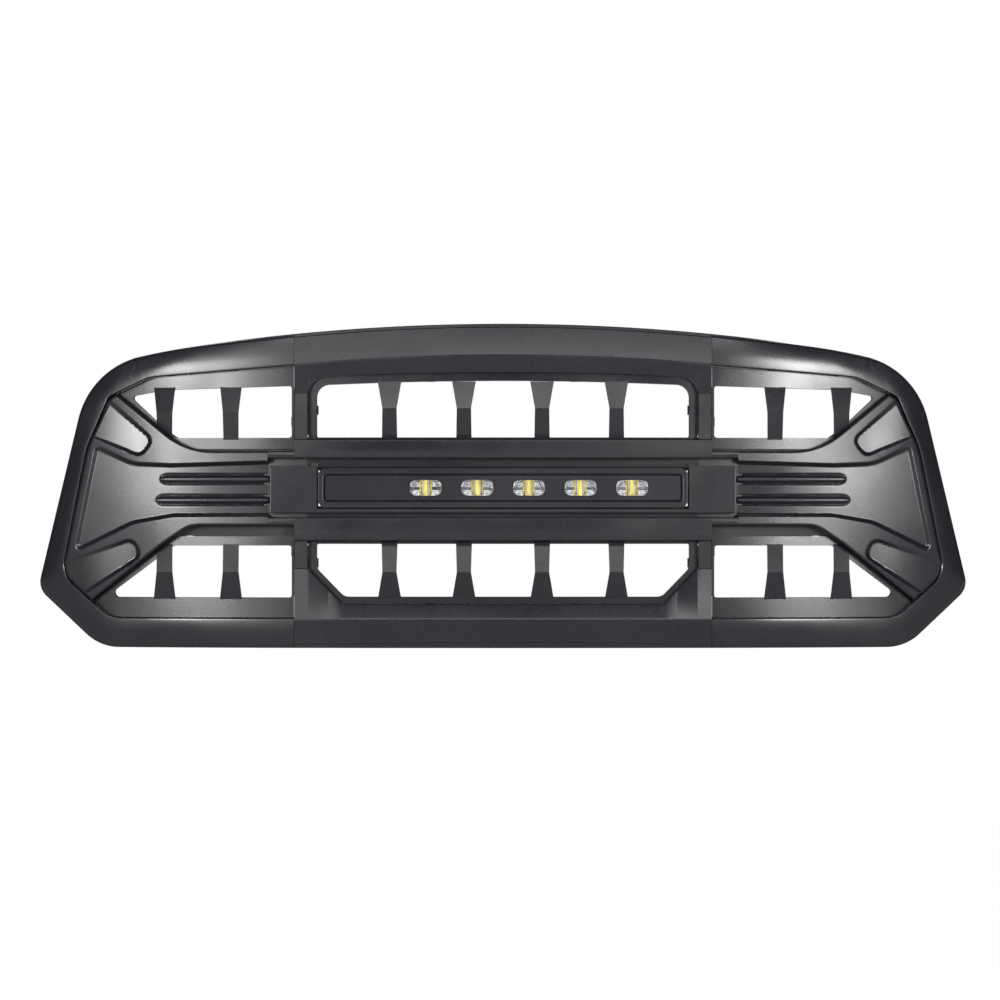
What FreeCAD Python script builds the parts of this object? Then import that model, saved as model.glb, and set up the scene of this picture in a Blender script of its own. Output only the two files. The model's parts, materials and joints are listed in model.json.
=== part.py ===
"""Front grille of a pickup truck: a three-piece surround, a one-piece crossbar fascia, six finned
inserts and an aimable light bar that hangs between two steel brackets.

Frame: +X to the right as seen from in front, -Y towards the viewer, +Z up, millimetres.
Origin: centre of the four centre bolts, on the rear faces of their pads.
Every moulding follows one plan curve, bow(x). A level is a distance in Y from that curve, so a
more negative level stands further forward.
"""
import FreeCAD, Part
import math
import os

from FreeCAD import Vector

# ---- overall sizes -------------------------------------------------------------------------------
HALF_WIDTH = 614.0        # to the virtual lower outer corner
TOP_Z = 212.0             # crest of the top edge
BOTTOM_Z = -210.8

# ---- plan curve ----------------------------------------------------------------------------------
CENTRE_BOW_RADIUS = 3400.0
SIDE_BOW_RADIUS = 900.0

# ---- light bar and what frames it ----------------------------------------------------------------
BAR_HALF = 241.5          # half length of the bezel
BAR_TOP = 24.2
BAR_BOTTOM = -27.9
BAR_FRONT = -49.5         # Y of the bezel's front face
BAR_CORNER = 11.0
AIM_GAP = 1.4             # between the bezel and the panel's window, all round
PIVOT_Y = -30.0
AIM_LIMIT = 3.0           # degrees up or down

POST_GAP = 13.5           # from the bezel's end to the post
POST_WIDTH = 17.5
POST_FRONT = -32.0        # Y of the post's flat front behind the crossbars
POST_BACK = -2.0          # Y of its flat rear there

# ---- mouldings -----------------------------------------------------------------------------------
SKIN = 3.0                # thickness of a front skin
WALL = 3.0                # thickness of a wall that runs back from the skin
RIB = 2.0
SURROUND_FRONT = -55.0    # levels
SURROUND_BACK = -12.0
FASCIA_FRONT = -62.0
FASCIA_BACK = -44.0
PANEL_FRONT = -54.0
PANEL_BACK = -44.0
INSERT_FRONT = -47.0
INSERT_BACK = -14.0
FIN_PROUD = 9.0           # how far a fin's kink stands in front of the insert
SEAM = 0.3                # between neighbouring mouldings
SEAT = 0.05               # between faces that are screwed together
EDGE_GAP = 0.6            # round each insert and round the fascia

# ---- crossbars -----------------------------------------------------------------------------------
GROOVE_ABOVE = 9.7        # panel to upper crossbar
GROOVE_BELOW = 5.5        # panel to lower crossbar
UPPER_BAR_HEIGHT = 25.3
LOWER_BAR_HEIGHT = 31.1
WING_STEP_TOP = 15.8      # the wings are lower than the middle of the upper crossbar
WING_STEP_BOTTOM = 20.2
PANEL_OVER_TOP = 2.6      # panel edge beyond the bezel
PANEL_OVER_BOTTOM = 6.8
PANEL_BEYOND_POST = 32.1

# ---- fasteners -----------------------------------------------------------------------------------
SCREW_R = 2.0
SCREW_HEAD_R = 4.2
SCREW_HEAD = 2.6
BOSS_R = 5.0
PILOT_GAP = 0.05
HOLE_GAP = 0.3

# ---- mounts --------------------------------------------------------------------------------------
CENTRE_BOLT_X = 200.0
CENTRE_BOLT_Z = 180.0
SIDE_BOLT_X = HALF_WIDTH - 94.0
SIDE_BOLT_Z = 60.0
SIDE_STAND = 36.6         # from the upper ledge to the side brackets' rear faces
MOUNT_HOLE_R = 3.3

# ---- worked out from the above -------------------------------------------------------------------
POST_INNER = BAR_HALF + POST_GAP
POST_OUTER = POST_INNER + POST_WIDTH
POST_MID = (POST_INNER + POST_OUTER) / 2
PANEL_HALF = POST_OUTER + PANEL_BEYOND_POST
PANEL_TOP = BAR_TOP + PANEL_OVER_TOP
PANEL_BOTTOM = BAR_BOTTOM - PANEL_OVER_BOTTOM
UPPER_BAR_LOW = PANEL_TOP + GROOVE_ABOVE
UPPER_BAR_TOP = UPPER_BAR_LOW + UPPER_BAR_HEIGHT
LOWER_BAR_TOP = PANEL_BOTTOM - GROOVE_BELOW
LOWER_BAR_LOW = LOWER_BAR_TOP - LOWER_BAR_HEIGHT
WING_TOP = UPPER_BAR_TOP - WING_STEP_TOP
WING_LOW = LOWER_BAR_LOW + WING_STEP_BOTTOM
POST_TOP = TOP_Z - 96.0   # where the middle moulding's posts meet its bars
POST_LOW = BOTTOM_Z + 106.8
BAR_Z = (BAR_TOP + BAR_BOTTOM) / 2
REACH = 400.0             # longer than any piece in Y
FAR_FRONT = -200.0        # in front of every piece
JOIN_ANGLE = math.asin(POST_OUTER / CENTRE_BOW_RADIUS)


# ---- geometry helpers ----------------------------------------------------------------------------
def bow(x):
    """Y of the plan curve: a shallow arc as far as the posts, then a tighter one tangent to it."""
    across = abs(x)
    if across <= POST_OUTER:
        return CENTRE_BOW_RADIUS - math.sqrt(CENTRE_BOW_RADIUS ** 2 - across ** 2)
    at_join = CENTRE_BOW_RADIUS * (1 - math.cos(JOIN_ANGLE))
    turn = math.asin((across - POST_OUTER) / SIDE_BOW_RADIUS + math.sin(JOIN_ANGLE))
    return at_join + SIDE_BOW_RADIUS * (math.cos(JOIN_ANGLE) - math.cos(turn))


def symmetric(half):
    """A closed list of corners from those at x >= 0, which run from top centre to bottom centre."""
    return half + [(-x, z, r) for x, z, r in reversed(half) if x > 0]


def outline(corners):
    """A face in the XZ plane at FAR_FRONT, from corners (x, z, radius) joined by straight lines."""
    points = [Vector(x, FAR_FRONT, z) for x, z, radius in corners]
    count = len(points)
    half_turns = []
    reaches = []
    for i, point in enumerate(points):
        to_last = (points[i - 1] - point).normalize()
        to_next = (points[(i + 1) % count] - point).normalize()
        half_turns.append(max(to_last.getAngle(to_next) / 2, 0.01))
        reaches.append(corners[i][2] / math.tan(half_turns[i]))
    limited = list(reaches)
    for i in range(count):
        after = (i + 1) % count
        room = (points[after] - points[i]).Length / max(reaches[i] + reaches[after], 1e-9)
        limited[i] = min(limited[i], reaches[i] * room)
        limited[after] = min(limited[after], reaches[after] * room)
    starts = []
    ends = []
    edges = []
    for i, point in enumerate(points):
        to_last = (points[i - 1] - point).normalize()
        to_next = (points[(i + 1) % count] - point).normalize()
        starts.append(point + to_last * limited[i])
        ends.append(point + to_next * limited[i])
        if limited[i] > 0.01:
            radius = limited[i] * math.tan(half_turns[i])
            inward = (to_last + to_next).normalize()
            middle = point + inward * (radius / math.sin(half_turns[i]) - radius)
            edges.append((i, Part.Arc(starts[i], middle, ends[i]).toShape()))
    for i in range(count):
        after = (i + 1) % count
        if (starts[after] - ends[i]).Length > 0.001:
            edges.append((i + 0.5, Part.LineSegment(ends[i], starts[after]).toShape()))
    ordered = [edge for place, edge in sorted(edges, key=lambda pair: pair[0])]
    return Part.Face(Part.Wire(ordered))


def rectangle(x0, x1, z0, z1, radius=0.0):
    """A face like outline's, from two corners."""
    return outline([(x0, z0, radius), (x1, z0, radius), (x1, z1, radius), (x0, z1, radius)])


def plan_edges(level, outer):
    """Edges along the plan curve moved back by level, from x = -outer to x = outer."""
    stations = [-outer, -POST_OUTER, POST_OUTER, outer]
    edges = []
    for x0, x1 in zip(stations[:-1], stations[1:]):
        places = [Vector(x, bow(x) + level, 0) for x in (x0, (x0 + x1) / 2, x1)]
        edges.append(Part.Arc(*places).toShape())
    return edges


def curve_edges(surface, outer):
    """One spline edge through y = surface(x), from x = -outer to x = outer."""
    steps = 56
    stations = [outer * (2.0 * i / steps - 1) for i in range(steps + 1)]
    curve = Part.BSplineCurve()
    curve.interpolate([Vector(x, surface(x), 0) for x in stations])
    return [curve.toShape()]


def slab(front, back):
    """The space between two bowed sheets, each a level or a function that gives Y from x."""
    outer = HALF_WIDTH + 20.0
    low = BOTTOM_Z - 50.0
    sheets = []
    for sheet in (front, back):
        sheets.append(curve_edges(sheet, outer) if callable(sheet) else plan_edges(sheet, outer))
    near, far = sheets
    sides = []
    for near_edge, far_edge, place in ((near[-1], far[-1], 1), (near[0], far[0], 0)):
        sides.append(Part.LineSegment(near_edge.Vertexes[-place].Point,
                                      far_edge.Vertexes[-place].Point).toShape())
    wire = Part.Wire(Part.__sortEdges__(near + far + sides))
    solid = Part.Face(wire).extrude(Vector(0, 0, TOP_Z - low + 50.0))
    solid.translate(Vector(0, 0, low))
    return solid


def prism(face, y0=FAR_FRONT, y1=FAR_FRONT + REACH):
    """The face carried straight back from y0 to y1."""
    solid = face.extrude(Vector(0, y1 - y0, 0))
    solid.translate(Vector(0, y0 - FAR_FRONT, 0))
    return solid


def moulding(face, front, back):
    """The part of the face's prism that lies between two bowed sheets."""
    return prism(face).common(slab(front, back))


def tray(face, front, back, skin=SKIN, wall=WALL):
    """A moulding that is open behind: a front skin with a wall round every edge."""
    hollow = face.makeOffset2D(-wall)
    return moulding(face, front, back).cut(moulding(hollow, front + skin, back + WALL))


def cylinder_y(x, z, radius, y0, y1):
    return Part.makeCylinder(radius, y1 - y0, Vector(x, y0, z), Vector(0, 1, 0))


def cylinder_x(y, z, radius, x0, x1):
    return Part.makeCylinder(radius, x1 - x0, Vector(x0, y, z), Vector(1, 0, 0))


def block(x0, x1, y0, y1, z0, z1):
    return Part.makeBox(x1 - x0, y1 - y0, z1 - z0, Vector(x0, y0, z0))


def mirrored(shape):
    """The same shape on the other side of the grille."""
    return shape.mirror(Vector(0, 0, 0), Vector(1, 0, 0))


def fused(shapes):
    """One solid from shapes that meet."""
    return shapes[0].multiFuse(shapes[1:]).removeSplitter()


def export(name, shape):
    shape.exportStep(os.path.join("parts", name + ".step"))
    print(name, len(shape.Solids), "solids", round(shape.Volume / 1000.0, 1), "cm3", shape.isValid())


# ---- outlines ------------------------------------------------------------------------------------
def silhouette():
    """The whole grille from in front, with a crowned top edge."""
    shoulder_x = HALF_WIDTH - 174.0
    shoulder_z = TOP_Z - 33.6
    apex = 28.0
    slope = math.atan((TOP_Z + apex - shoulder_z) / shoulder_x)
    crown = apex / (1 / math.cos(slope) - 1)
    return outline(symmetric([
        (0.0, TOP_Z + apex, crown),
        (shoulder_x, shoulder_z, 900.0),
        (HALF_WIDTH - 71.0, TOP_Z - 57.0, 110.0),
        (HALF_WIDTH, BOTTOM_Z + 76.8, 25.0),
        (HALF_WIDTH - 84.6, BOTTOM_Z, 65.0)]))


def centre_opening(inset=0.0):
    """The opening of the middle surround, smaller by inset; both crossbars pass in front of it."""
    side = POST_INNER - inset
    return outline(symmetric([
        (0.0, TOP_Z - 58.1 - inset, 5000.0),
        (side, TOP_Z - 68.7 - inset, 23.0),
        (side, BOTTOM_Z + 103.2, 18.0),
        (side - 45.0, BOTTOM_Z + 57.3 + inset, 18.0)]))


def side_opening(inset=0.0):
    """The opening of the right surround; its inner end runs on past the seam."""
    return outline([
        (POST_INNER, TOP_Z - 53.2 - inset, 0.0),
        (HALF_WIDTH - 152.0, TOP_Z - 69.0 - inset, 60.0),
        (HALF_WIDTH - 96.5 - inset, TOP_Z - 94.0 - inset, 15.0),
        (HALF_WIDTH - 67.0 - inset, TOP_Z - 160.0, 150.0),
        (HALF_WIDTH - 33.0 - inset, BOTTOM_Z + 95.8, 35.0),
        (HALF_WIDTH - 97.0 - inset, BOTTOM_Z + 39.3 + inset, 45.0),
        (POST_INNER, BOTTOM_Z + 39.3 + inset, 0.0)])


def fascia_outline():
    """Both crossbars and both wings; each wing reaches the rim of its surround."""
    gap = EDGE_GAP
    return outline(symmetric([
        (0.0, UPPER_BAR_TOP, 0.0),
        (POST_OUTER, UPPER_BAR_TOP, 1.0),
        (POST_OUTER, WING_TOP, 1.0),
        (HALF_WIDTH - 200.0, WING_TOP, 100.0),
        (HALF_WIDTH - 107.5, TOP_Z - 91.2, 3.0),
        (HALF_WIDTH - 97.5 - gap, TOP_Z - 96.5, 8.0),
        (HALF_WIDTH - 67.0 - gap, TOP_Z - 160.0, 150.0),
        (HALF_WIDTH - 33.0 - gap, BOTTOM_Z + 97.0, 35.0),
        (HALF_WIDTH - 73.5, BOTTOM_Z + 62.5, 6.0),
        (HALF_WIDTH - 167.0, BOTTOM_Z + 134.5, 14.0),
        (HALF_WIDTH - 204.5, WING_LOW, 40.0),
        (POST_OUTER, WING_LOW, 1.0),
        (POST_OUTER, LOWER_BAR_LOW, 1.0)]))


def flare_outline():
    """The recess of a wing that flares outwards from the light panel."""
    return outline([
        (PANEL_HALF + 5.4, UPPER_BAR_LOW - 7.6, 2.0),
        (HALF_WIDTH - 180.0, UPPER_BAR_LOW - 11.4, 60.0),
        (HALF_WIDTH - 128.0, UPPER_BAR_LOW - 9.0, 60.0),
        (HALF_WIDTH - 82.2, UPPER_BAR_LOW + 11.5, 1.5),
        (HALF_WIDTH - 56.0, LOWER_BAR_TOP - 38.9, 1.5),
        (HALF_WIDTH - 128.0, LOWER_BAR_TOP - 4.2, 60.0),
        (HALF_WIDTH - 182.0, LOWER_BAR_TOP + 5.1, 60.0),
        (PANEL_HALF + 5.4, LOWER_BAR_TOP + 5.9, 2.0)])


def pocket_outline(upper):
    """A tongue-shaped recess between a wing's arm and its root."""
    if upper:
        return outline([
            (HALF_WIDTH - 98.5, TOP_Z - 99.0, 1.5),
            (HALF_WIDTH - 155.0, WING_TOP + 16.0, 11.5),
            (HALF_WIDTH - 140.0, WING_TOP - 4.0, 11.5),
            (HALF_WIDTH - 73.0, TOP_Z - 143.0, 1.5)])
    return outline([
        (HALF_WIDTH - 35.5, BOTTOM_Z + 107.5, 1.5),
        (HALF_WIDTH - 127.0, WING_LOW - 16.0, 11.5),
        (HALF_WIDTH - 140.0, WING_LOW - 36.0, 11.5),
        (HALF_WIDTH - 62.0, BOTTOM_Z + 69.0, 1.5)])


# ---- fastening -----------------------------------------------------------------------------------
LUG_PROUD = 3.5           # a boss stands this far behind the walls, so that a flat ear clears them
EAR = 3.0                 # thickness of an ear
EAR_HALF = 6.0
LUG_X = 95.0
LUG_Z = 100.0             # on the posts, for the middle inserts
SIDE_LUG_Z = 85.0         # on the posts, for the side inserts


def lug_places():
    """Boss places (x, z) on the right half, by insert."""
    return {
        "upper_centre": [(LUG_X, TOP_Z - 52.0), (POST_MID, LUG_Z)],
        "lower_centre": [(LUG_X, BOTTOM_Z + 46.0), (POST_MID, -LUG_Z)],
        "upper_side": [(POST_OUTER + 80.0, TOP_Z - 49.5), (HALF_WIDTH - 179.0, TOP_Z - 56.5),
                       (POST_MID, SIDE_LUG_Z)],
        "lower_side": [(POST_OUTER + 80.0, BOTTOM_Z + 29.0), (HALF_WIDTH - 154.0, BOTTOM_Z + 29.0),
                       (POST_MID, -SIDE_LUG_Z)]}


def lug_face_y(x):
    """Y of the flat rear face of the surround's boss at x."""
    return bow(x) + SURROUND_BACK + LUG_PROUD


def surround_boss(x, z):
    """A screw boss that grows from the surround's skin, with its pilot hole."""
    y_back = lug_face_y(x)
    boss = cylinder_y(x, z, BOSS_R, FAR_FRONT, y_back).common(slab(SURROUND_FRONT + 1.0, 60.0))
    return boss.cut(cylinder_y(x, z, SCREW_R + PILOT_GAP, y_back - 16.0, y_back + 1.0))


def drill(shape, x, z, radius, y0, y1):
    return shape.cut(cylinder_y(x, z, radius, y0, y1))


def screw_y(x, z, seat, length, radius=SCREW_R, head_r=SCREW_HEAD_R):
    """A pan-head screw driven forwards, with its head behind the face at Y = seat."""
    head = cylinder_y(x, z, head_r, seat, seat + SCREW_HEAD)
    head = head.makeFillet(0.8, [edge for edge in head.Edges if edge.Length > head_r * 5
                                 and edge.BoundBox.YMin > seat + SCREW_HEAD / 2
                                 and edge.BoundBox.YLength < 0.01])
    slot = block(x - head_r, x + head_r, seat + SCREW_HEAD - 0.9, seat + SCREW_HEAD + 1, z - 0.6, z + 0.6)
    return head.cut(slot).fuse(cylinder_y(x, z, radius, seat - length, seat))


# ---- surround ------------------------------------------------------------------------------------
def upright_band(x0, x1):
    """A face that takes in everything between two values of x."""
    return rectangle(x0, x1, BOTTOM_Z - 20.0, TOP_Z + 60.0)


def stiffeners(face, stations):
    """Upright ribs inside a surround moulding, a little lower than its walls."""
    ribs = []
    for x in stations:
        strip = face.common(rectangle(x - RIB / 2, x + RIB / 2, BOTTOM_Z - 20.0, TOP_Z + 60.0))
        ribs.append(moulding(strip, SURROUND_FRONT + 1.0, SURROUND_BACK - 2.0))
    return ribs


def bolt_pads(face):
    """Four pads whose rear faces carry the centre bolts, at Y = 0, each on two ribs of its own."""
    pads = []
    inside = silhouette().makeOffset2D(-SEAL_INSET - SEAL_WIDTH - SEAM)
    for x in (-CENTRE_BOLT_X, CENTRE_BOLT_X):
        for z_low, z_high in ((0.0, TOP_Z + 60.0), (BOTTOM_Z - 20.0, 0.0)):
            strip = face.common(rectangle(x - PAD_HALF, x + PAD_HALF, z_low, z_high)).common(inside)
            pads.append(prism(strip, -PAD_THICK, 0.0))
    return pads


PAD_HALF = 18.0           # bolt pads
PAD_THICK = 16.0
PAD_RIB = 15.0            # from a centre bolt to the ribs under its pad
SEAL_INSET = 1.0
SEAL_WIDTH = 7.0


def seam_holes():
    """Places (y, z) of the bolts that join the surround's pieces at each seam."""
    middle = bow(POST_OUTER) + (SURROUND_FRONT + SURROUND_BACK) / 2
    return [(middle, TOP_Z - 36.0), (middle, BOTTOM_Z + 19.0)]


SEAM_BOLT_R = 2.5


def centre_rib_x():
    """Ribs of the top and bottom bars: beside each bolt pad, and between the other fittings."""
    beside = [CENTRE_BOLT_X - PAD_RIB, CENTRE_BOLT_X + PAD_RIB]
    return [LUG_X * 0.26, LUG_X * 0.7, LUG_X * 1.5] + beside + [POST_OUTER - 32.0]


def surround_centre():
    """Top bar, bottom bar and two posts in one moulding."""
    face = silhouette().common(upright_band(-POST_OUTER, POST_OUTER)).cut(centre_opening())
    shape = tray(face.Faces[0], SURROUND_FRONT, SURROUND_BACK)
    pieces = bolt_pads(face)
    pieces += stiffeners(face, [sign * x for sign in (-1, 1) for x in centre_rib_x()])
    low = LOWER_BAR_LOW - 6.0
    high = UPPER_BAR_TOP + 6.0
    for sign in (-1, 1):
        x0, x1 = sorted((sign * (POST_INNER + 1.0), sign * (POST_OUTER - 1.0)))
        shape = shape.cut(block(x0 - 2.0, x1 + 2.0, FAR_FRONT, 60.0, low, high))
        pieces.append(block(x0, x1, POST_FRONT, POST_BACK, low - 5.0, high + 5.0))
        ends = sorted((sign * POST_INNER, sign * POST_OUTER))
        for z0 in (low - 3.0, high):
            pieces.append(moulding(rectangle(*ends, z0, z0 + 3.0), SURROUND_FRONT, SURROUND_BACK))
    places = lug_places()
    shared = [places["upper_side"][2], places["lower_side"][2]]
    for x, z in places["upper_centre"] + places["lower_centre"] + shared:
        pieces += [surround_boss(x, z), surround_boss(-x, z)]
    pieces += [surround_boss(x, z) for x, z in bumper_places()]
    shape = fused([shape] + pieces)
    for x in (-CENTRE_BOLT_X, CENTRE_BOLT_X):
        for z in (-CENTRE_BOLT_Z, CENTRE_BOLT_Z):
            shape = drill(shape, x, z, MOUNT_HOLE_R, -20.0, 1.0)
    for sign in (-1, 1):
        x = sign * POST_MID
        for z in post_screw_heights():
            shape = drill(shape, x, z, SCREW_R + HOLE_GAP, POST_FRONT - 1, POST_BACK + 1)
            shape = drill(shape, x, z, SCREW_HEAD_R + HOLE_GAP, POST_FRONT + 6.0, POST_BACK + 1)
        for z in BRACKET_SCREW_Z:
            shape = drill(shape, x, z, SCREW_R + PILOT_GAP, POST_BACK - 14.0, POST_BACK + 1)
        for y, z in seam_holes():
            shape = shape.cut(cylinder_x(y, z, SEAM_BOLT_R + HOLE_GAP, x - 12.0, x + 12.0))
    for x, z in bumper_places():
        shape = drill(shape, x, z, BUMPER_STEM_R + PILOT_GAP, lug_face_y(x) - 12.0, lug_face_y(x) + 1)
    return shape


def centre_members(whole):
    """The middle moulding as four members: both bars, and the posts that stand between them."""
    spans = {
        "surround_top_centre": (-HALF_WIDTH, HALF_WIDTH, POST_TOP, TOP_Z + 1.0),
        "surround_bottom_centre": (-HALF_WIDTH, HALF_WIDTH, BOTTOM_Z - 1.0, POST_LOW),
        "surround_post_right": (0.0, HALF_WIDTH, POST_LOW, POST_TOP),
        "surround_post_left": (-HALF_WIDTH, 0.0, POST_LOW, POST_TOP)}
    return {name: whole.common(block(x0, x1, FAR_FRONT, -FAR_FRONT, z0, z1))
            for name, (x0, x1, z0, z1) in spans.items()}


def ledge_boxes():
    """Flat ledges behind the right wing: x0, x1, y0, y1, z0, z1 for the upper and the lower one."""
    boxes = []
    for x0, x1, z0, z1 in ((HALF_WIDTH - 126.0, HALF_WIDTH - 72.0, WING_TOP + 4.0, WING_TOP + 54.0),
                           (HALF_WIDTH - 86.0, HALF_WIDTH - 30.0, BOTTOM_Z + 90.0, BOTTOM_Z + 114.0)):
        y0 = bow(x1) + FASCIA_BACK + 2.0
        boxes.append((x0, x1, y0, y0 + 4.0, z0, z1))
    return boxes


def side_plane():
    """Y of the side brackets' rear faces."""
    return ledge_boxes()[0][3] + SIDE_STAND


def surround_right():
    """The right end of the surround: a C-shaped rim with ledges for the wing."""
    start = POST_OUTER + SEAM
    face = silhouette().common(upright_band(start, HALF_WIDTH + 40.0)).cut(side_opening())
    shape = tray(face.Faces[0], SURROUND_FRONT, SURROUND_BACK)
    stations = [start + 35.0 + 48.0 * i for i in range(6)]
    keep = [x for x in stations if min(abs(x - place[0]) for place in
                                       lug_places()["upper_side"] + lug_places()["lower_side"]) > 8]
    pieces = stiffeners(face, keep)
    pieces += [block(*box) for box in ledge_boxes()]
    places = lug_places()
    for x, z in places["upper_side"][:2] + places["lower_side"][:2]:
        pieces.append(surround_boss(x, z))
    shape = fused([shape] + pieces)
    for y, z in seam_holes():
        shape = shape.cut(cylinder_x(y, z, SEAM_BOLT_R + HOLE_GAP, start - 1.0, start + 12.0))
    for x, y0, y1, z in ledge_screws():
        shape = drill(shape, x, z, SCREW_R + HOLE_GAP, y0 - 1.0, y1 + 1.0)
    upper_ledge = ledge_boxes()[0]
    for x, z in foot_screw_places():
        shape = drill(shape, x, z, SCREW_R + PILOT_GAP, upper_ledge[2] - 1.0, upper_ledge[3] + 1.0)
    return shape


def ledge_screws():
    """Screws through the ledges (x, y0, y1, z): two into the wing, two into the side bracket's foot."""
    upper, lower = ledge_boxes()
    return [(upper[0] + 16.0, upper[2], upper[3], upper[5] - 8.0),
            (lower[0] + 12.0, lower[2], lower[3], (lower[4] + lower[5]) / 2)]


def seam_bolts():
    """Eight parts: a bolt and a nut at each of the four seam places."""
    parts = []
    for y, z in seam_holes():
        inner = POST_OUTER - WALL
        outer = POST_OUTER + SEAM + WALL
        for sign in (-1, 1):
            shank = cylinder_x(y, z, SEAM_BOLT_R, inner - 3.0, outer + 6.0)
            head = cylinder_x(y, z, 4.5, inner - 3.0, inner - SEAT)
            nut = hexagon_x(y, z, 4.0, outer + SEAT, outer + 4.0)
            nut = nut.cut(cylinder_x(y, z, SEAM_BOLT_R + PILOT_GAP, outer - 1, outer + 8))
            pair = [shank.fuse(head), nut]
            parts += pair if sign > 0 else [mirrored(part) for part in pair]
    return parts


def hexagon_x(y, z, across, x0, x1):
    """A hexagonal prism along X, across being the radius to its corners."""
    points = [Vector(x0, y + across * math.cos(math.radians(60 * i)),
                     z + across * math.sin(math.radians(60 * i))) for i in range(7)]
    return Part.Face(Part.makePolygon(points)).extrude(Vector(x1 - x0, 0, 0))


# ---- fascia --------------------------------------------------------------------------------------
FLARE_DEPTH = 15.0        # at the inner end; it rises to the face at the outer crease
POCKET_DEPTH = 9.0        # at the tip
FLOOR = 2.5
FLARE_RIB_PROUD = 9.0
BRACKET_SCREW_Z = (9.0, -17.0)


def post_screw_heights():
    """Heights of the screws that come through the posts: two for the fascia, two for the panel."""
    return [(UPPER_BAR_LOW + UPPER_BAR_TOP) / 2, (LOWER_BAR_LOW + LOWER_BAR_TOP) / 2,
            PANEL_TOP - 5.3, PANEL_BOTTOM + 5.7]


def ramp(deep_x, shallow_x, deep, shift=0.0):
    """A sheet that is deep behind the fascia's face at deep_x and rises to it at shallow_x."""
    def surface(x):
        share = (abs(x) - deep_x) / (shallow_x - deep_x)
        return bow(x) + FASCIA_FRONT + 0.8 + deep * (1 - min(max(share, 0.0), 1.0)) + shift
    return surface


def recessed(shape, face, deep_x, shallow_x, deep):
    """The shape with a recess over the face: a sloping floor and a wall round it."""
    border = face.makeOffset2D(FLOOR)
    floor_front = ramp(deep_x, shallow_x, deep)
    floor_back = ramp(deep_x, shallow_x, deep, FLOOR)
    lining = prism(border).common(slab(FASCIA_FRONT + 0.5, floor_back))
    cut = prism(face).common(slab(FASCIA_FRONT - 5.0, floor_front))
    return shape.fuse(lining).cut(cut)


def flare_ribs():
    """Two tapering ribs along a flare, from the light panel outwards."""
    ribs = []
    inner = PANEL_HALF + 5.4
    for top, low, tip in ((UPPER_BAR_LOW - 21.8, UPPER_BAR_LOW - 32.4, -30.9),
                          (LOWER_BAR_TOP + 27.8, LOWER_BAR_TOP + 16.8, 20.3)):
        tip_z = (UPPER_BAR_LOW if tip < 0 else LOWER_BAR_TOP) + tip
        face = outline([(inner, low, 0.0), (inner, top, 0.0), (HALF_WIDTH - 165.0, tip_z, 1.0)])
        front = ramp(inner, HALF_WIDTH - 60.0, FLARE_DEPTH, -FLARE_RIB_PROUD * 0.6)
        back = ramp(inner, HALF_WIDTH - 60.0, FLARE_DEPTH, 1.0)
        ribs.append(prism(face).common(slab(front, back)))
    return ribs


def fascia():
    """The crossbars and wings in one moulding, open between the crossbars for the light panel."""
    window = rectangle(-PANEL_HALF - 2.4, PANEL_HALF + 2.4, LOWER_BAR_TOP, UPPER_BAR_LOW, 2.0)
    face = fascia_outline().cut(window).Faces[0]
    bosses = fascia_bosses()
    shape = fused([tray(face, FASCIA_FRONT, FASCIA_BACK)] + bosses + [mirrored(b) for b in bosses])
    inner = PANEL_HALF + 5.4
    ribs = fascia_stiffeners()
    for flip in (False, True):
        parts = [(flare_outline(), inner, HALF_WIDTH - 60.0, FLARE_DEPTH),
                 (pocket_outline(True), HALF_WIDTH - 150.0, HALF_WIDTH - 84.0, POCKET_DEPTH),
                 (pocket_outline(False), HALF_WIDTH - 136.0, HALF_WIDTH - 46.0, POCKET_DEPTH)]
        for recess, deep_x, shallow_x, deep in parts:
            shape = recessed(shape, mirrored(recess) if flip else recess, deep_x, shallow_x, deep)
        ribs += [mirrored(rib) if flip else rib for rib in flare_ribs()]
    shape = fused([shape] + ribs)
    for sign in (-1, 1):
        for z in post_screw_heights()[:2]:
            shape = drill(shape, sign * POST_MID, z, SCREW_R + PILOT_GAP, POST_FRONT - 9, POST_FRONT + 1)
        for x, y0, y1, z in ledge_screws():
            shape = drill(shape, sign * x, z, SCREW_R + PILOT_GAP, y0 - 9.0, y0 + 1)
    return shape


def fascia_bosses():
    """Bosses of the right half, as far as the faces that they are screwed to."""
    bosses = []
    places = [(POST_MID, z, POST_FRONT) for z in post_screw_heights()[:2]]
    places += [(x, z, y0) for x, y0, y1, z in ledge_screws()]
    for x, z, seat in places:
        boss = cylinder_y(x, z, BOSS_R, FAR_FRONT, seat - SEAT)
        bosses.append(boss.common(slab(FASCIA_FRONT + 1.0, 60.0)))
    return bosses


def fascia_stiffeners():
    """Ribs inside the crossbars."""
    ribs = []
    for i in range(-4, 5):
        x = i * POST_INNER / 4.6
        for low, high in ((UPPER_BAR_LOW, UPPER_BAR_TOP), (LOWER_BAR_LOW, LOWER_BAR_TOP)):
            strip = rectangle(x - RIB / 2, x + RIB / 2, low + 1.0, high - 1.0)
            ribs.append(moulding(strip, FASCIA_FRONT + 1.0, FASCIA_BACK - 2.0))
    return ribs


# ---- light panel ---------------------------------------------------------------------------------
def window_face(grow=0.0):
    """The panel's window round the bezel."""
    gap = AIM_GAP + grow
    return rectangle(-BAR_HALF - gap, BAR_HALF + gap, BAR_BOTTOM - gap, BAR_TOP + gap, BAR_CORNER)


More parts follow.
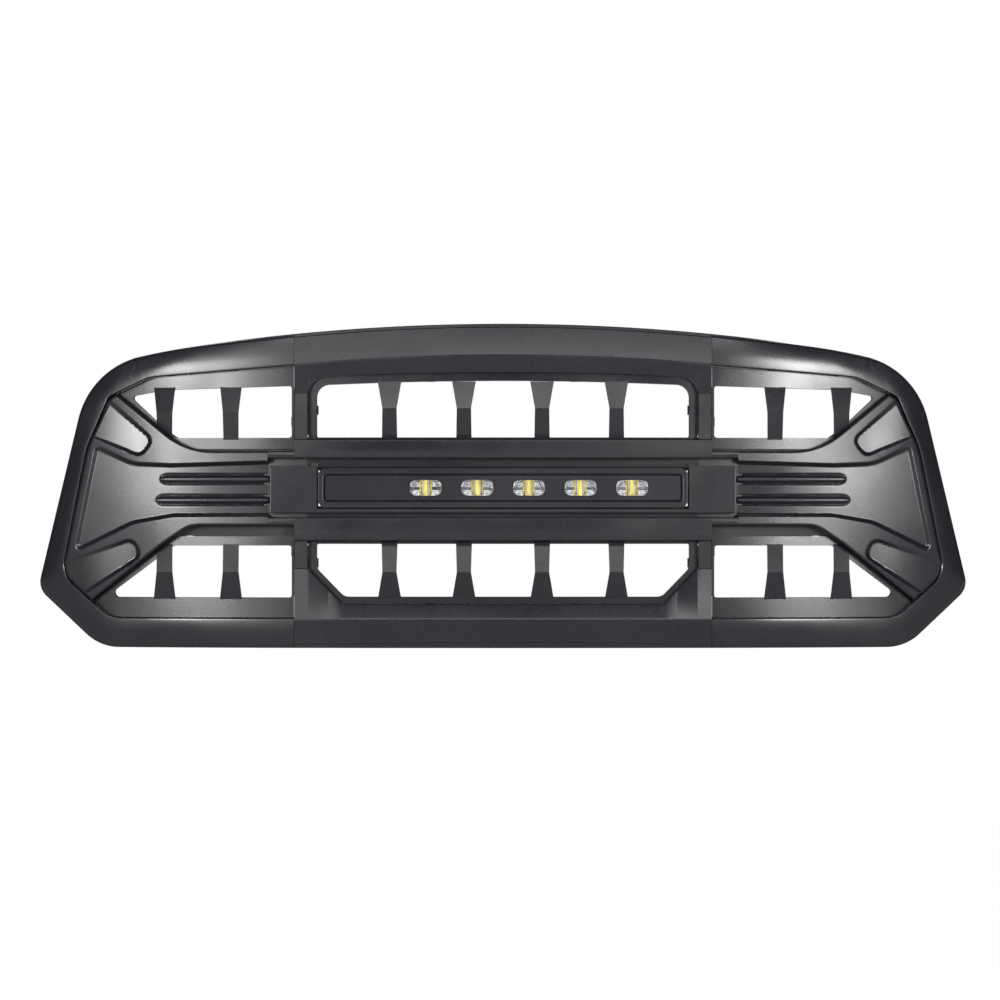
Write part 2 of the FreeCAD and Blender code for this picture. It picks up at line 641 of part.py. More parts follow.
def light_panel():
    """The flat trim round the light bar, with bosses that reach the posts."""
    outer = rectangle(-PANEL_HALF, PANEL_HALF, PANEL_BOTTOM, PANEL_TOP, 2.0)
    face = outer.cut(window_face()).Faces[0]
    skin = moulding(face, PANEL_FRONT, PANEL_FRONT + 2.5)
    wall_face = outer.cut(rectangle(-PANEL_HALF + 2.0, PANEL_HALF - 2.0,
                                    PANEL_BOTTOM + 2.0, PANEL_TOP - 1.2)).Faces[0]
    pieces = [moulding(wall_face, PANEL_FRONT + 1.0, PANEL_BACK)]
    for sign in (-1, 1):
        for z in post_screw_heights()[2:]:
            boss = cylinder_y(sign * POST_MID, z, BOSS_R - 0.8, FAR_FRONT, POST_FRONT - SEAT)
            pieces.append(boss.common(slab(PANEL_FRONT + 1.0, 60.0)))
    shape = fused([skin] + pieces)
    for sign in (-1, 1):
        for z in post_screw_heights()[2:]:
            shape = drill(shape, sign * POST_MID, z, SCREW_R + PILOT_GAP, POST_FRONT - 9, POST_FRONT + 1)
    return shape


# ---- inserts -------------------------------------------------------------------------------------
INSERT_SKIN = 2.5
INSERT_WALL = 2.5
FIN_TAPER = 2.0           # a fin is this much narrower behind, each side
CENTRE_FIN_X = (BAR_HALF * 0.211, BAR_HALF * 0.613)
SIDE_FIN_SHARES = (0.244, 0.501)


def fin(x, stations, front, back):
    """A faceted fin from stations (z, width, proud): each is a trapezium, wider in front."""
    wires = []
    for z, width, proud in stations:
        half = width / 2
        y_front = front - proud
        corners = [Vector(x - half, bow(x - half) + y_front, z),
                   Vector(x + half, bow(x + half) + y_front, z),
                   Vector(x + half - FIN_TAPER, bow(x + half) + back, z),
                   Vector(x - half + FIN_TAPER, bow(x - half) + back, z)]
        wires.append(Part.makePolygon(corners + corners[:1]))
    return Part.makeLoft(wires, True, True)


def insert_frame(outer, inner):
    """A frame rail: a front skin between two outlines and a wall round the inner one."""
    skin = moulding(outer.cut(inner), INSERT_FRONT, INSERT_FRONT + INSERT_SKIN)
    ring = inner.makeOffset2D(INSERT_WALL).common(outer).cut(inner)
    return [skin, moulding(ring, INSERT_FRONT, INSERT_BACK)]


def ear(x, z, x_wall, z_wall):
    """A flat ear over a boss, and the neck that joins it to the insert's wall."""
    y0 = lug_face_y(x) + SEAT
    plate = block(min(x - EAR_HALF, x_wall), max(x + EAR_HALF, x_wall), y0, y0 + EAR,
                  min(z - EAR_HALF, z_wall), max(z + EAR_HALF, z_wall))
    if abs(x_wall - x) > EAR_HALF:
        neck = block(min(x_wall, x_wall + math.copysign(2.0, x - x_wall)),
                     max(x_wall, x_wall + math.copysign(2.0, x - x_wall)),
                     y0 - 12.0, y0 + EAR, z - EAR_HALF, z + EAR_HALF)
    else:
        neck = block(x - EAR_HALF, x + EAR_HALF, y0 - 12.0, y0 + EAR,
                     min(z_wall, z_wall + math.copysign(2.0, z - z_wall)),
                     max(z_wall, z_wall + math.copysign(2.0, z - z_wall)))
    return [plate, neck]


def finish_insert(pieces, outer, ears):
    """The pieces made one, clear of the fascia, with ears (x, z, x_wall, z_wall) drilled."""
    clear = slab(FASCIA_FRONT - 40.0, FASCIA_BACK + EDGE_GAP)
    shape = fused(pieces)
    shape = shape.cut(prism(fascia_outline().makeOffset2D(EDGE_GAP)).common(clear))
    for place in ears:
        shape = shape.fuse(fused(ear(*place)))
    for x, z, x_wall, z_wall in ears:
        shape = drill(shape, x, z, SCREW_R + HOLE_GAP, lug_face_y(x) - 1, lug_face_y(x) + EAR + 1)
    return shape


def centre_see_through(upper):
    """The opening of a middle insert."""
    side = POST_INNER - 11.5
    if upper:
        return outline(symmetric([(0.0, TOP_Z - 70.5, 5000.0), (side, TOP_Z - 79.5, 17.0),
                                  (side, UPPER_BAR_TOP + 2.2, 3.0)]))
    return outline(symmetric([(0.0, LOWER_BAR_LOW - 3.7, 0.0), (side, LOWER_BAR_LOW - 3.7, 3.0),
                              (side, BOTTOM_Z + 103.2, 12.0), (side - 35.7, BOTTOM_Z + 66.5, 14.0)]))


def insert_centre(upper):
    """A middle insert with four fins."""
    outer = centre_opening(EDGE_GAP)
    inner = centre_see_through(upper)
    if upper:
        outer = outer.common(upright_band(-POST_INNER, POST_INNER).common(
            rectangle(-HALF_WIDTH, HALF_WIDTH, UPPER_BAR_TOP - 9.0, TOP_Z)))
        kink = TOP_Z - 110.0
        spans = [(UPPER_BAR_TOP + 0.7, 20.0, 0.0), (kink, 18.7, FIN_PROUD), (TOP_Z - 75.0, 31.0, 0.0)]
        places = lug_places()["upper_centre"]
    else:
        outer = outer.common(rectangle(-HALF_WIDTH, HALF_WIDTH, BOTTOM_Z, LOWER_BAR_LOW + 9.0))
        kink = BOTTOM_Z + 99.1
        spans = [(BOTTOM_Z + 64.5, 30.5, 0.0), (kink, 18.5, FIN_PROUD), (LOWER_BAR_LOW - 0.7, 21.0, 0.0)]
        places = lug_places()["lower_centre"]
    pieces = insert_frame(outer, inner)
    for off_centre in CENTRE_FIN_X:
        for x in (-off_centre, off_centre):
            pieces.append(fin(x, spans, INSERT_FRONT, INSERT_BACK))
    z_wall = TOP_Z - 75.0 if upper else BOTTOM_Z + 65.5
    ears = []
    for sign in (-1, 1):
        (x, z), (post_x, post_z) = places
        ears.append((sign * x, z, sign * x, z_wall))
        ears.append((sign * post_x, post_z, sign * (POST_INNER - 13.0), post_z))
    return finish_insert(pieces, outer, ears)


def side_see_through(upper):
    """The opening of a right-hand insert."""
    start = POST_OUTER + 3.5
    if upper:
        return outline([(start, TOP_Z - 80.5, 4.0), (HALF_WIDTH - 171.0, TOP_Z - 85.2, 30.0),
                        (HALF_WIDTH - 124.0, TOP_Z - 93.5, 4.0), (HALF_WIDTH - 183.0, UPPER_BAR_TOP + 1.8, 12.0),
                        (start, UPPER_BAR_TOP + 1.8, 4.0)])
    return outline([(start, LOWER_BAR_LOW - 5.9, 4.0), (HALF_WIDTH - 182.0, LOWER_BAR_LOW - 6.2, 12.0),
                    (HALF_WIDTH - 91.0, BOTTOM_Z + 65.4, 6.0), (start, BOTTOM_Z + 65.4, 4.0)])


def insert_right(upper):
    """A right-hand insert with two fins; its sloping end follows the wing's arm."""
    start = POST_OUTER + EDGE_GAP
    clip = upright_band(start, HALF_WIDTH)
    inner = side_see_through(upper)
    if upper:
        outer = side_opening(EDGE_GAP).common(clip).common(outline([
            (start, TOP_Z, 0.0), (HALF_WIDTH - 60.0, TOP_Z, 0.0),
            (HALF_WIDTH - 104.0, TOP_Z - 93.0, 0.0), (HALF_WIDTH - 186.0, WING_TOP + 3.0, 0.0),
            (start, WING_TOP + 3.0, 0.0)]))
        kink = TOP_Z - 115.0
        spans = [(UPPER_BAR_TOP - 1.0, 20.0, 0.0), (kink, 21.0, FIN_PROUD), (TOP_Z - 82.0, 28.5, 0.0)]
        places = lug_places()["upper_side"]
        walls = [TOP_Z - 82.0, TOP_Z - 84.0]
    else:
        outer = side_opening(EDGE_GAP).common(clip).common(outline([
            (start, BOTTOM_Z, 0.0), (HALF_WIDTH - 60.0, BOTTOM_Z, 0.0),
            (HALF_WIDTH - 76.0, BOTTOM_Z + 61.5, 0.0), (HALF_WIDTH - 180.0, LOWER_BAR_LOW + 6.0, 0.0),
            (start, LOWER_BAR_LOW + 6.0, 0.0)]))
        kink = BOTTOM_Z + 99.0
        spans = [(BOTTOM_Z + 63.0, 29.5, 0.0), (kink, 21.0, FIN_PROUD), (LOWER_BAR_LOW - 4.0, 21.0, 0.0)]
        places = lug_places()["lower_side"]
        walls = [BOTTOM_Z + 64.0, BOTTOM_Z + 64.0]
    pieces = insert_frame(outer, inner)
    for share in SIDE_FIN_SHARES:
        pieces.append(fin(POST_OUTER + share * (HALF_WIDTH - POST_OUTER), spans, INSERT_FRONT, INSERT_BACK))
    ears = [(x, z, x, wall) for (x, z), wall in zip(places[:2], walls)]
    ears.append((places[2][0], places[2][1], POST_OUTER + 5.0, places[2][1]))
    return finish_insert(pieces, outer, ears)


# ---- light bar -----------------------------------------------------------------------------------
BEZEL_RING_SIDE = 9.5     # width of the bezel's ring, at its ends and above and below
BEZEL_RING = 9.9
BEZEL_DEPTH = 8.5
PLATE_BACK = 4.0          # the face plate's front, behind the bezel's front
PLATE_THICK = 2.5
LENS_COUNT = 5
LENS_PITCH = 67.4
LENS_FIRST = -101.0
LENS_LENGTH = 41.0
LENS_HEIGHT = 20.0
LENS_THICK = 3.0
FIT = 0.15                # between pieces of the light bar that nest
REFLECTOR_DEPTH = 13.0
REFLECTOR_RIM = 1.5
GASKET_THICK = 1.5
HOUSING_DEPTH = 34.0
HOUSING_INSET = 5.5       # housing behind the bezel's outline
HOUSING_WALL = 3.0
BOARD_THICK = 1.6
CHIP = 5.0
CHIP_THICK = 1.0
SINK_BASE = 4.0
SINK_FIN = 15.0
SINK_FIN_THICK = 2.0
SINK_PITCH = 12.5
CAP_THICK = 4.0
BRACKET_GAP = 2.8         # from the bezel's end to the bracket plate
BRACKET_THICK = 3.0
PIVOT_R = 4.0
PIVOT_GAP = 0.08
LOCK_R = 2.5
LOCK_ORBIT = 16.5         # from the pivot to the lock bolt
SLOT_GAP = 0.3
SLOT_SPARE = 2.0          # degrees past the aim limit at each end of the slot

LENS_X = [LENS_FIRST + LENS_PITCH * i for i in range(LENS_COUNT)]
BEZEL_BACK = BAR_FRONT + BEZEL_DEPTH
PLATE_FRONT = BAR_FRONT + PLATE_BACK
PLATE_REAR = PLATE_FRONT + PLATE_THICK
HOUSING_FRONT = BEZEL_BACK + GASKET_THICK
HOUSING_BACK = HOUSING_FRONT + HOUSING_DEPTH
HOUSING_HALF = BAR_HALF - HOUSING_INSET
BOARD_FRONT = PLATE_REAR + REFLECTOR_DEPTH + CHIP_THICK
BRACKET_X = BAR_HALF + BRACKET_GAP
CAP_X = HOUSING_HALF + CAP_THICK


def bezel_inner(grow=0.0):
    """The hole of the bezel's ring, where the face plate sits."""
    return rectangle(-BAR_HALF + BEZEL_RING_SIDE - grow, BAR_HALF - BEZEL_RING_SIDE + grow,
                     BAR_BOTTOM + BEZEL_RING - grow, BAR_TOP - BEZEL_RING + grow, 5.0)


def lens_face(x, grow=0.0):
    """The outline of one lens: a slot with rounded ends."""
    half = LENS_LENGTH / 2 + grow
    high = LENS_HEIGHT / 2 + grow
    return rectangle(x - half, x + half, BAR_Z - high, BAR_Z + high, high * 0.8)


def housing_outline(inset=0.0):
    return rectangle(-HOUSING_HALF + inset, HOUSING_HALF - inset,
                     BAR_BOTTOM + HOUSING_INSET + inset, BAR_TOP - HOUSING_INSET - inset,
                     BAR_CORNER / 2)


def bezel():
    """The ring in front of the light bar, with its inner edge sloping down to the face plate."""
    outer = rectangle(-BAR_HALF, BAR_HALF, BAR_BOTTOM, BAR_TOP, BAR_CORNER)
    ring = prism(outer.cut(bezel_inner()), BAR_FRONT, BEZEL_BACK)
    mouth = Part.makeLoft([section_at(bezel_inner(3.0), BAR_FRONT - 0.01),
                           section_at(bezel_inner(), PLATE_FRONT - 0.5)], True, True)
    return ring.cut(mouth)


def section_at(face, y):
    """The face's outer wire, moved to Y = y."""
    wire = face.OuterWire.copy()
    wire.translate(Vector(0, y - FAR_FRONT, 0))
    return wire


def face_plate():
    """The trim inside the bezel, pierced for the lenses."""
    plate = prism(bezel_inner(-FIT), PLATE_FRONT, PLATE_REAR)
    for x in LENS_X:
        plate = plate.cut(prism(lens_face(x, FIT), PLATE_FRONT - 1, PLATE_REAR + 1))
    return plate


def lens(x):
    """A clear lens with a crowned front, standing a little proud of the face plate."""
    front = PLATE_FRONT - 1.2
    solid = prism(lens_face(x), front, front + LENS_THICK)
    rim = [edge for edge in solid.Edges if edge.BoundBox.YMax < front + 0.01]
    return solid.makeFillet(0.9, rim)


def reflector(x):
    """A bowl behind a lens, narrowing to a throat for the LED."""
    block_face = lens_face(x, REFLECTOR_RIM)
    back = PLATE_REAR + REFLECTOR_DEPTH
    solid = prism(block_face, PLATE_REAR + SEAT, back)
    bowl = Part.makeLoft([section_at(lens_face(x, -0.5), PLATE_REAR - 0.5),
                          section_at(rectangle(x - 4.5, x + 4.5, BAR_Z - 4.0, BAR_Z + 4.0, 2.5),
                                     back + 0.5)], True, True)
    return solid.cut(bowl)


def led_board():
    face = rectangle(-HOUSING_HALF + 15.0, HOUSING_HALF - 15.0, BAR_Z - 12.0, BAR_Z + 12.0, 2.0)
    board = prism(face, BOARD_FRONT, BOARD_FRONT + BOARD_THICK)
    for x in board_screw_x():
        board = drill(board, x, BAR_Z, SCREW_R + HOLE_GAP, BOARD_FRONT - 1, BOARD_FRONT + 3)
    return board


def board_screw_x():
    """Board screws stand midway between lenses."""
    return [LENS_X[0] - LENS_PITCH / 2, LENS_X[1] + LENS_PITCH / 2, LENS_X[3] + LENS_PITCH / 2]


def led_chips():
    return [block(x - CHIP / 2, x + CHIP / 2, BOARD_FRONT - CHIP_THICK, BOARD_FRONT,
                  BAR_Z - CHIP / 2, BAR_Z + CHIP / 2) for x in LENS_X]


def board_screws():
    """Screws that hold the board to the housing's pads, driven backwards."""
    parts = []
    for x in board_screw_x():
        head = cylinder_y(x, BAR_Z, 3.6, BOARD_FRONT - SCREW_HEAD, BOARD_FRONT)
        parts.append(head.fuse(cylinder_y(x, BAR_Z, SCREW_R, BOARD_FRONT, BOARD_FRONT + 8.0)))
    return parts


def gasket():
    ring = housing_outline().cut(housing_outline(HOUSING_WALL))
    return prism(ring, BEZEL_BACK, HOUSING_FRONT)


def housing():
    """The light bar's case: a tray, open in front, with pads that carry the LED board."""
    case = prism(housing_outline(), HOUSING_FRONT, HOUSING_BACK)
    hollow = prism(housing_outline(HOUSING_WALL), HOUSING_FRONT - 1, HOUSING_BACK - HOUSING_WALL)
    case = case.cut(hollow)
    pads = []
    for x in board_screw_x():
        pads.append(cylinder_y(x, BAR_Z, 6.0, BOARD_FRONT + BOARD_THICK, HOUSING_BACK - 1.0))
    for sign in (-1, 1):
        x0, x1 = sorted((sign * (HOUSING_HALF - 14.0), sign * (HOUSING_HALF - 1.0)))
        pads.append(block(x0, x1, HOUSING_FRONT, HOUSING_BACK - 1.0,
                          BAR_BOTTOM + HOUSING_INSET + 1, BAR_TOP - HOUSING_INSET - 1))
    case = fused([case] + pads)
    for x in board_screw_x():
        case = drill(case, x, BAR_Z, SCREW_R + PILOT_GAP, BOARD_FRONT, BOARD_FRONT + 10.0)
    for sign in (-1, 1):
        x0, x1 = sorted((sign * (HOUSING_HALF - 12.0), sign * (HOUSING_HALF + 1.0)))
        case = case.cut(cylinder_x(PIVOT_Y, BAR_Z, PIVOT_R + PILOT_GAP, x0, x1))
        case = case.cut(cylinder_x(*lock_place(), LOCK_R + PILOT_GAP, x0, x1))
        for y, z in cap_screw_places():
            case = case.cut(cylinder_x(y, z, 1.5 + PILOT_GAP, x0, x1))
    for x, radius in ((SOCKET_X, SOCKET_R), (VENT_X, VENT_R)):
        case = drill(case, x, BAR_Z, radius + PILOT_GAP, HOUSING_BACK - 8.0, HOUSING_BACK + 1.0)
    for x in sink_screw_x():
        case = drill(case, x, BAR_Z, SCREW_R + PILOT_GAP, HOUSING_BACK - 4.0, HOUSING_BACK + 1.0)
    return case


SOCKET_X = 150.0
SOCKET_R = 9.0
VENT_X = 200.0
VENT_R = 4.0


def lock_place():
    """Y and Z of the lock bolt, straight behind the pivot."""
    return PIVOT_Y + LOCK_ORBIT, BAR_Z


def cap_screw_places():
    """Y and Z of the four screws of an end cap."""
    return [(y, BAR_Z + dz) for y in (HOUSING_FRONT + 4.0, HOUSING_BACK - 4.0) for dz in (-15.0, 15.0)]


def end_cap():
    """The right end cap: a plate on the housing's end, with holes for pivot, lock and screws."""
    plate = block(HOUSING_HALF, CAP_X, HOUSING_FRONT, HOUSING_BACK,
                  BAR_BOTTOM + HOUSING_INSET + 1.5, BAR_TOP - HOUSING_INSET - 1.5)
    plate = plate.makeFillet(3.0, [edge for edge in plate.Edges if edge.BoundBox.XLength > 1.0])
    plate = plate.cut(cylinder_x(PIVOT_Y, BAR_Z, PIVOT_R + PILOT_GAP, HOUSING_HALF - 1, CAP_X + 1))
    plate = plate.cut(cylinder_x(*lock_place(), LOCK_R + PILOT_GAP, HOUSING_HALF - 1, CAP_X + 1))
    for y, z in cap_screw_places():
        plate = plate.cut(cylinder_x(y, z, 1.5 + HOLE_GAP, HOUSING_HALF - 1, CAP_X + 1))
        plate = plate.cut(cylinder_x(y, z, 2.8 + HOLE_GAP, CAP_X - 2.0, CAP_X + 1))
    return plate


def cap_screws():
    """Countersunk-in screws of both end caps, flush with the caps."""
    parts = []
    for y, z in cap_screw_places():
        screw = cylinder_x(y, z, 2.8, CAP_X - 2.0, CAP_X - 0.1)
        screw = screw.fuse(cylinder_x(y, z, 1.5, CAP_X - 12.0, CAP_X - 2.0))
        parts += [screw, mirrored(screw)]
    return parts


def heat_sink():
    """A ribbed plate on the housing's back, cut away round the socket and the vent."""
    low = BAR_BOTTOM + HOUSING_INSET + 3.0
    high = BAR_TOP - HOUSING_INSET - 3.0
    half = HOUSING_HALF - 8.0
    base = prism(rectangle(-half, half, low, high, 4.0), HOUSING_BACK, HOUSING_BACK + SINK_BASE)
    fins = []
    count = int(half / SINK_PITCH)
    for i in range(-count + 1, count):
        x = i * SINK_PITCH
        if min(abs(x - SOCKET_X), abs(x - VENT_X)) > SOCKET_R + 4.0:
            fins.append(block(x - SINK_FIN_THICK / 2, x + SINK_FIN_THICK / 2, HOUSING_BACK + SINK_BASE - 1,
                              HOUSING_BACK + SINK_FIN, low + 2.0, high - 2.0))
    sink = fused([base] + fins)
    for x, radius in ((SOCKET_X, SOCKET_R), (VENT_X, VENT_R)):
        sink = drill(sink, x, BAR_Z, radius + HOLE_GAP, HOUSING_BACK - 1, HOUSING_BACK + SINK_FIN + 1)
    for x in sink_screw_x():
        sink = drill(sink, x, BAR_Z, SCREW_R + HOLE_GAP, HOUSING_BACK - 1, HOUSING_BACK + SINK_BASE + 1)
    return sink


def sink_screw_x():
    """Heat sink screws stand midway between two of its fins."""
    return [SINK_PITCH * (k + 0.5) for k in (-15, -6, 5)]


def sink_screws():
    parts = []
    for x in sink_screw_x():
        parts.append(screw_y(x, BAR_Z, HOUSING_BACK + SINK_BASE, SINK_BASE + 2.5))
    return parts


def connector_socket():
    """A round male inlet on the back: a flange, a shroud and two pins."""
    y0 = HOUSING_BACK - 5.0
    y1 = HOUSING_BACK + SINK_FIN + 6.0
    shell = cylinder_y(SOCKET_X, BAR_Z, SOCKET_R, y0, y1)
    shell = drill(shell, SOCKET_X, BAR_Z, SOCKET_R - 2.0, y0 + 8.0, y1 + 1.0)
    pins = [cylinder_y(SOCKET_X + dx, BAR_Z, 1.2, y0 + 4.0, y1 - 4.0) for dx in (-3.0, 3.0)]
    return fused([shell] + pins)


def breather_vent():
    y0 = HOUSING_BACK - 4.0
    y1 = HOUSING_BACK + SINK_BASE
    cap = cylinder_y(VENT_X, BAR_Z, VENT_R + 3.0, y1, y1 + 4.0)
    return cap.fuse(cylinder_y(VENT_X, BAR_Z, VENT_R, y0, y1))


def pivot_bolt():
    """The right pivot: threaded into the end cap, smooth through washer and bracket."""
    outer = BRACKET_X + BRACKET_THICK
    head = cylinder_x(PIVOT_Y, BAR_Z, 6.5, outer + SEAT + 0.1, outer + 4.5)
    socket = hexagon_x(PIVOT_Y, BAR_Z, 2.9, outer + 2.0, outer + 5.0)
    return head.fuse(cylinder_x(PIVOT_Y, BAR_Z, PIVOT_R, HOUSING_HALF - 10.0, outer + 1.0)).cut(socket)


def pivot_washer():
    """A plain washer between the end cap and the bracket."""
    ring = cylinder_x(PIVOT_Y, BAR_Z, 7.5, CAP_X, BRACKET_X - 0.15)
    return ring.cut(cylinder_x(PIVOT_Y, BAR_Z, PIVOT_R + PILOT_GAP, CAP_X - 1, BRACKET_X + 1))


def lock_bolt():
    """The right lock bolt: it clamps the end cap to the bracket through the arc slot."""
    outer = BRACKET_X + BRACKET_THICK
    y, z = lock_place()
    head = hexagon_x(y, z, 5.0, outer + SEAT + 0.1, outer + 4.0)
    return head.fuse(cylinder_x(y, z, LOCK_R, HOUSING_HALF - 10.0, outer + 1.0))


def bracket():
    """The right bracket: a plate across the bar's end and a flange on the post's rear face."""
    outer = BRACKET_X + BRACKET_THICK
    y_front = PIVOT_Y - 10.0
    y_back = POST_BACK + SEAT + BRACKET_THICK
    low = BRACKET_SCREW_Z[1] - 7.0
    high = BRACKET_SCREW_Z[0] + 7.0
    plate = block(BRACKET_X, outer, y_front, y_back + 4.0, low, high)
    flange = block(BRACKET_X, POST_OUTER - 3.0, POST_BACK + SEAT, y_back, low, high)
    shape = fused([plate, flange])
    shape = shape.cut(cylinder_x(PIVOT_Y, BAR_Z, PIVOT_R + PIVOT_GAP, BRACKET_X - 1, outer + 1))
    shape = shape.cut(arc_slot(BRACKET_X - 1, outer + 1))
    for z in BRACKET_SCREW_Z:
        shape = drill(shape, POST_MID, z, SCREW_R + HOLE_GAP, POST_BACK - 1, y_back + 1)
    return shape


def arc_slot(x0, x1):
    """The slot that the lock bolt travels in, centred on the pivot."""
    half = math.radians(AIM_LIMIT + SLOT_SPARE)
    wide = LOCK_R + SLOT_GAP
    wedge = []
    for radius in (LOCK_ORBIT - wide, LOCK_ORBIT + wide):
        wedge.append(Part.makeCylinder(radius, x1 - x0, Vector(x0, PIVOT_Y, BAR_Z), Vector(1, 0, 0)))
    sector_z = LOCK_ORBIT * math.sin(half)
    sector = block(x0, x1, PIVOT_Y, PIVOT_Y + 2 * LOCK_ORBIT, BAR_Z - sector_z, BAR_Z + sector_z)
    slot = wedge[1].cut(wedge[0]).common(sector)
    ends = [cylinder_x(PIVOT_Y + LOCK_ORBIT * math.cos(half), BAR_Z + sign * sector_z, wide, x0, x1)
            for sign in (-1, 1)]
    return slot.fuse(ends)


def bracket_screws():
    parts = []
    for sign in (-1, 1):
        for z in BRACKET_SCREW_Z:
            parts.append(screw_y(sign * POST_MID, z, POST_BACK + SEAT + BRACKET_THICK, 14.0))
    return parts


# ---- small parts of the grille -------------------------------------------------------------------
def post_screws(indices):
    """Screws that come forward through the posts' counterbores."""
    parts = []
    for sign in (-1, 1):
        for z in [post_screw_heights()[i] for i in indices]:
            parts.append(screw_y(sign * POST_MID, z, POST_FRONT + 6.0, 12.0))
    return parts


def ledge_screw_set():
    parts = []
    for x, y0, y1, z in ledge_screws():
        screw = screw_y(x, z, y1, 12.0)
        parts += [screw, mirrored(screw)]
    return parts


def insert_screws():
    parts = []
    for places in lug_places().values():
        for x, z in places:
            screw = screw_y(x, z, lug_face_y(x) + SEAT + EAR, 14.0)
            parts += [screw, mirrored(screw)]
    return parts


FOOT_SCREW_Z = (18.0, 30.0)   # above the ledge's low edge


def side_bracket():
    """The right steel bracket: a foot on the upper ledge, a leg, and a rear plate."""
    x0, x1, y0, y1, z0, z1 = ledge_boxes()[0]
    thick = 2.5
    plane = side_plane()
    foot_z0 = z0 + 8.0
    foot_z1 = z1 - 14.0
    foot = block(x0 + 4.0, x0 + 40.0, y1 + SEAT, y1 + thick, foot_z0, foot_z1)
    leg = block(x0 + 4.0, x0 + 4.0 + thick, y1 + SEAT, plane, foot_z0, foot_z1)
    plate = block(x0 + 4.0, x0 + 48.0, plane - thick, plane, foot_z0 - 2.0, foot_z1)
    shape = fused([foot, leg, plate])
    shape = drill(shape, SIDE_BOLT_X, SIDE_BOLT_Z, MOUNT_HOLE_R, plane - 5, plane + 1)
    for x, z in foot_screw_places():
        shape = drill(shape, x, z, SCREW_R + HOLE_GAP, y1 - 1, y1 + thick + 1)
    return shape


def foot_screw_places():
    x0, x1, y0, y1, z0, z1 = ledge_boxes()[0]
    return [(x0 + 20.0, z0 + dz) for dz in FOOT_SCREW_Z]


def foot_screws():
    x0, x1, y0, y1, z0, z1 = ledge_boxes()[0]
    parts = []
    for x, z in foot_screw_places():
        screw = screw_y(x, z, y1 + 2.5, 6.5)
        parts += [screw, mirrored(screw)]
    return parts


BUMPER_X = 120.0
BUMPER_R = 9.0
BUMPER_STEM_R = 3.0


def bumper_places():
    return [(sign * BUMPER_X, BOTTOM_Z + 29.0) for sign in (-1, 1)]


def bumpers():
    """Rubber buffers under the bottom bar's rear, each with a stem in its boss."""
    parts = []
    for x, z in bumper_places():
        seat = lug_face_y(x) + SEAT
        pad = cylinder_y(x, z, BUMPER_R, seat, seat + 9.0)
        pad = pad.makeFillet(2.0, [e for e in pad.Edges if e.BoundBox.YMin > seat + 8.9])
        parts.append(pad.fuse(cylinder_y(x, z, BUMPER_STEM_R, seat - 11.0, seat)))
    return parts


def top_seal():
    """A rubber strip along the rear of the top edge."""
    whole = silhouette()
    band = whole.makeOffset2D(-SEAL_INSET).cut(whole.makeOffset2D(-SEAL_INSET - SEAL_WIDTH))
    band = band.common(rectangle(-HALF_WIDTH + 120.0, HALF_WIDTH - 120.0, 0.0, TOP_Z + 40.0))
    return moulding(band, SURROUND_BACK + SEAT, SURROUND_BACK + 7.0)


# ---- all pieces ----------------------------------------------------------------------------------
def build():
    """Each node's name and shape; a list of solids becomes a group."""
    right = surround_right()
    pieces = centre_members(surround_centre())
    pieces.update({
        "surround_right": right,
        "surround_left": mirrored(right),
        "crossbar_fascia": fascia(),
        "light_panel": light_panel(),
        "insert_upper_centre": insert_centre(True),
        "insert_lower_centre": insert_centre(False)})
    for upper, word in ((True, "upper"), (False, "lower")):
        insert = insert_right(upper)
        pieces["insert_" + word + "_right"] = insert
        pieces["insert_" + word + "_left"] = mirrored(insert)
    pieces.update({
        "light_bezel": bezel(),
        "light_face_plate": face_plate(),
        "light_gasket": gasket(),
        "light_housing": housing(),
        "heat_sink": heat_sink(),
        "led_board": led_board(),
        "led_chips": led_chips(),
        "led_board_screws": board_screws(),
        "heat_sink_screws": sink_screws(),
        "connector_socket": connector_socket(),
        "breather_vent": breather_vent(),
        "end_cap_screws": cap_screws()})
    for i, x in enumerate(LENS_X):
        pieces["lens_" + str(i + 1)] = lens(x)
        pieces["reflector_" + str(i + 1)] = reflector(x)
    for name, shape in (("end_cap", end_cap()), ("pivot_bolt", pivot_bolt()),
                        ("pivot_washer", pivot_washer()), ("lock_bolt", lock_bolt()),
                        ("light_bracket", bracket()), ("side_bracket", side_bracket())):
        pieces[name + "_right"] = shape
        pieces[name + "_left"] = mirrored(shape)
    pieces.update({
        "bracket_screws": bracket_screws(),
        "fascia_screws": post_screws((0, 1)) + ledge_screw_set(),
        "panel_screws": post_screws((2, 3)),
        "insert_screws": insert_screws(),
        "side_bracket_screws": foot_screws(),
        "surround_bolts": seam_bolts(),
        "rubber_bumpers": bumpers(),
        "top_seal": top_seal()})
    return pieces


def main():
    os.makedirs("parts", exist_ok=True)
    for name, shape in build().items():
        if isinstance(shape, list):
            shape = Part.makeCompound(shape)
        export(name, shape)


main()
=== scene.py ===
"""Looks of the front grille: finishes for its parts, sculpted front skins, crossbars and wings, lamp
details, studio light and camera. Shapes are worked out in millimetres and made in metres, in the
part's own frame: +X to the viewer's right, -Y towards the viewer, +Z up."""
import json
import logging
import math
from dataclasses import dataclass, field
from enum import Enum

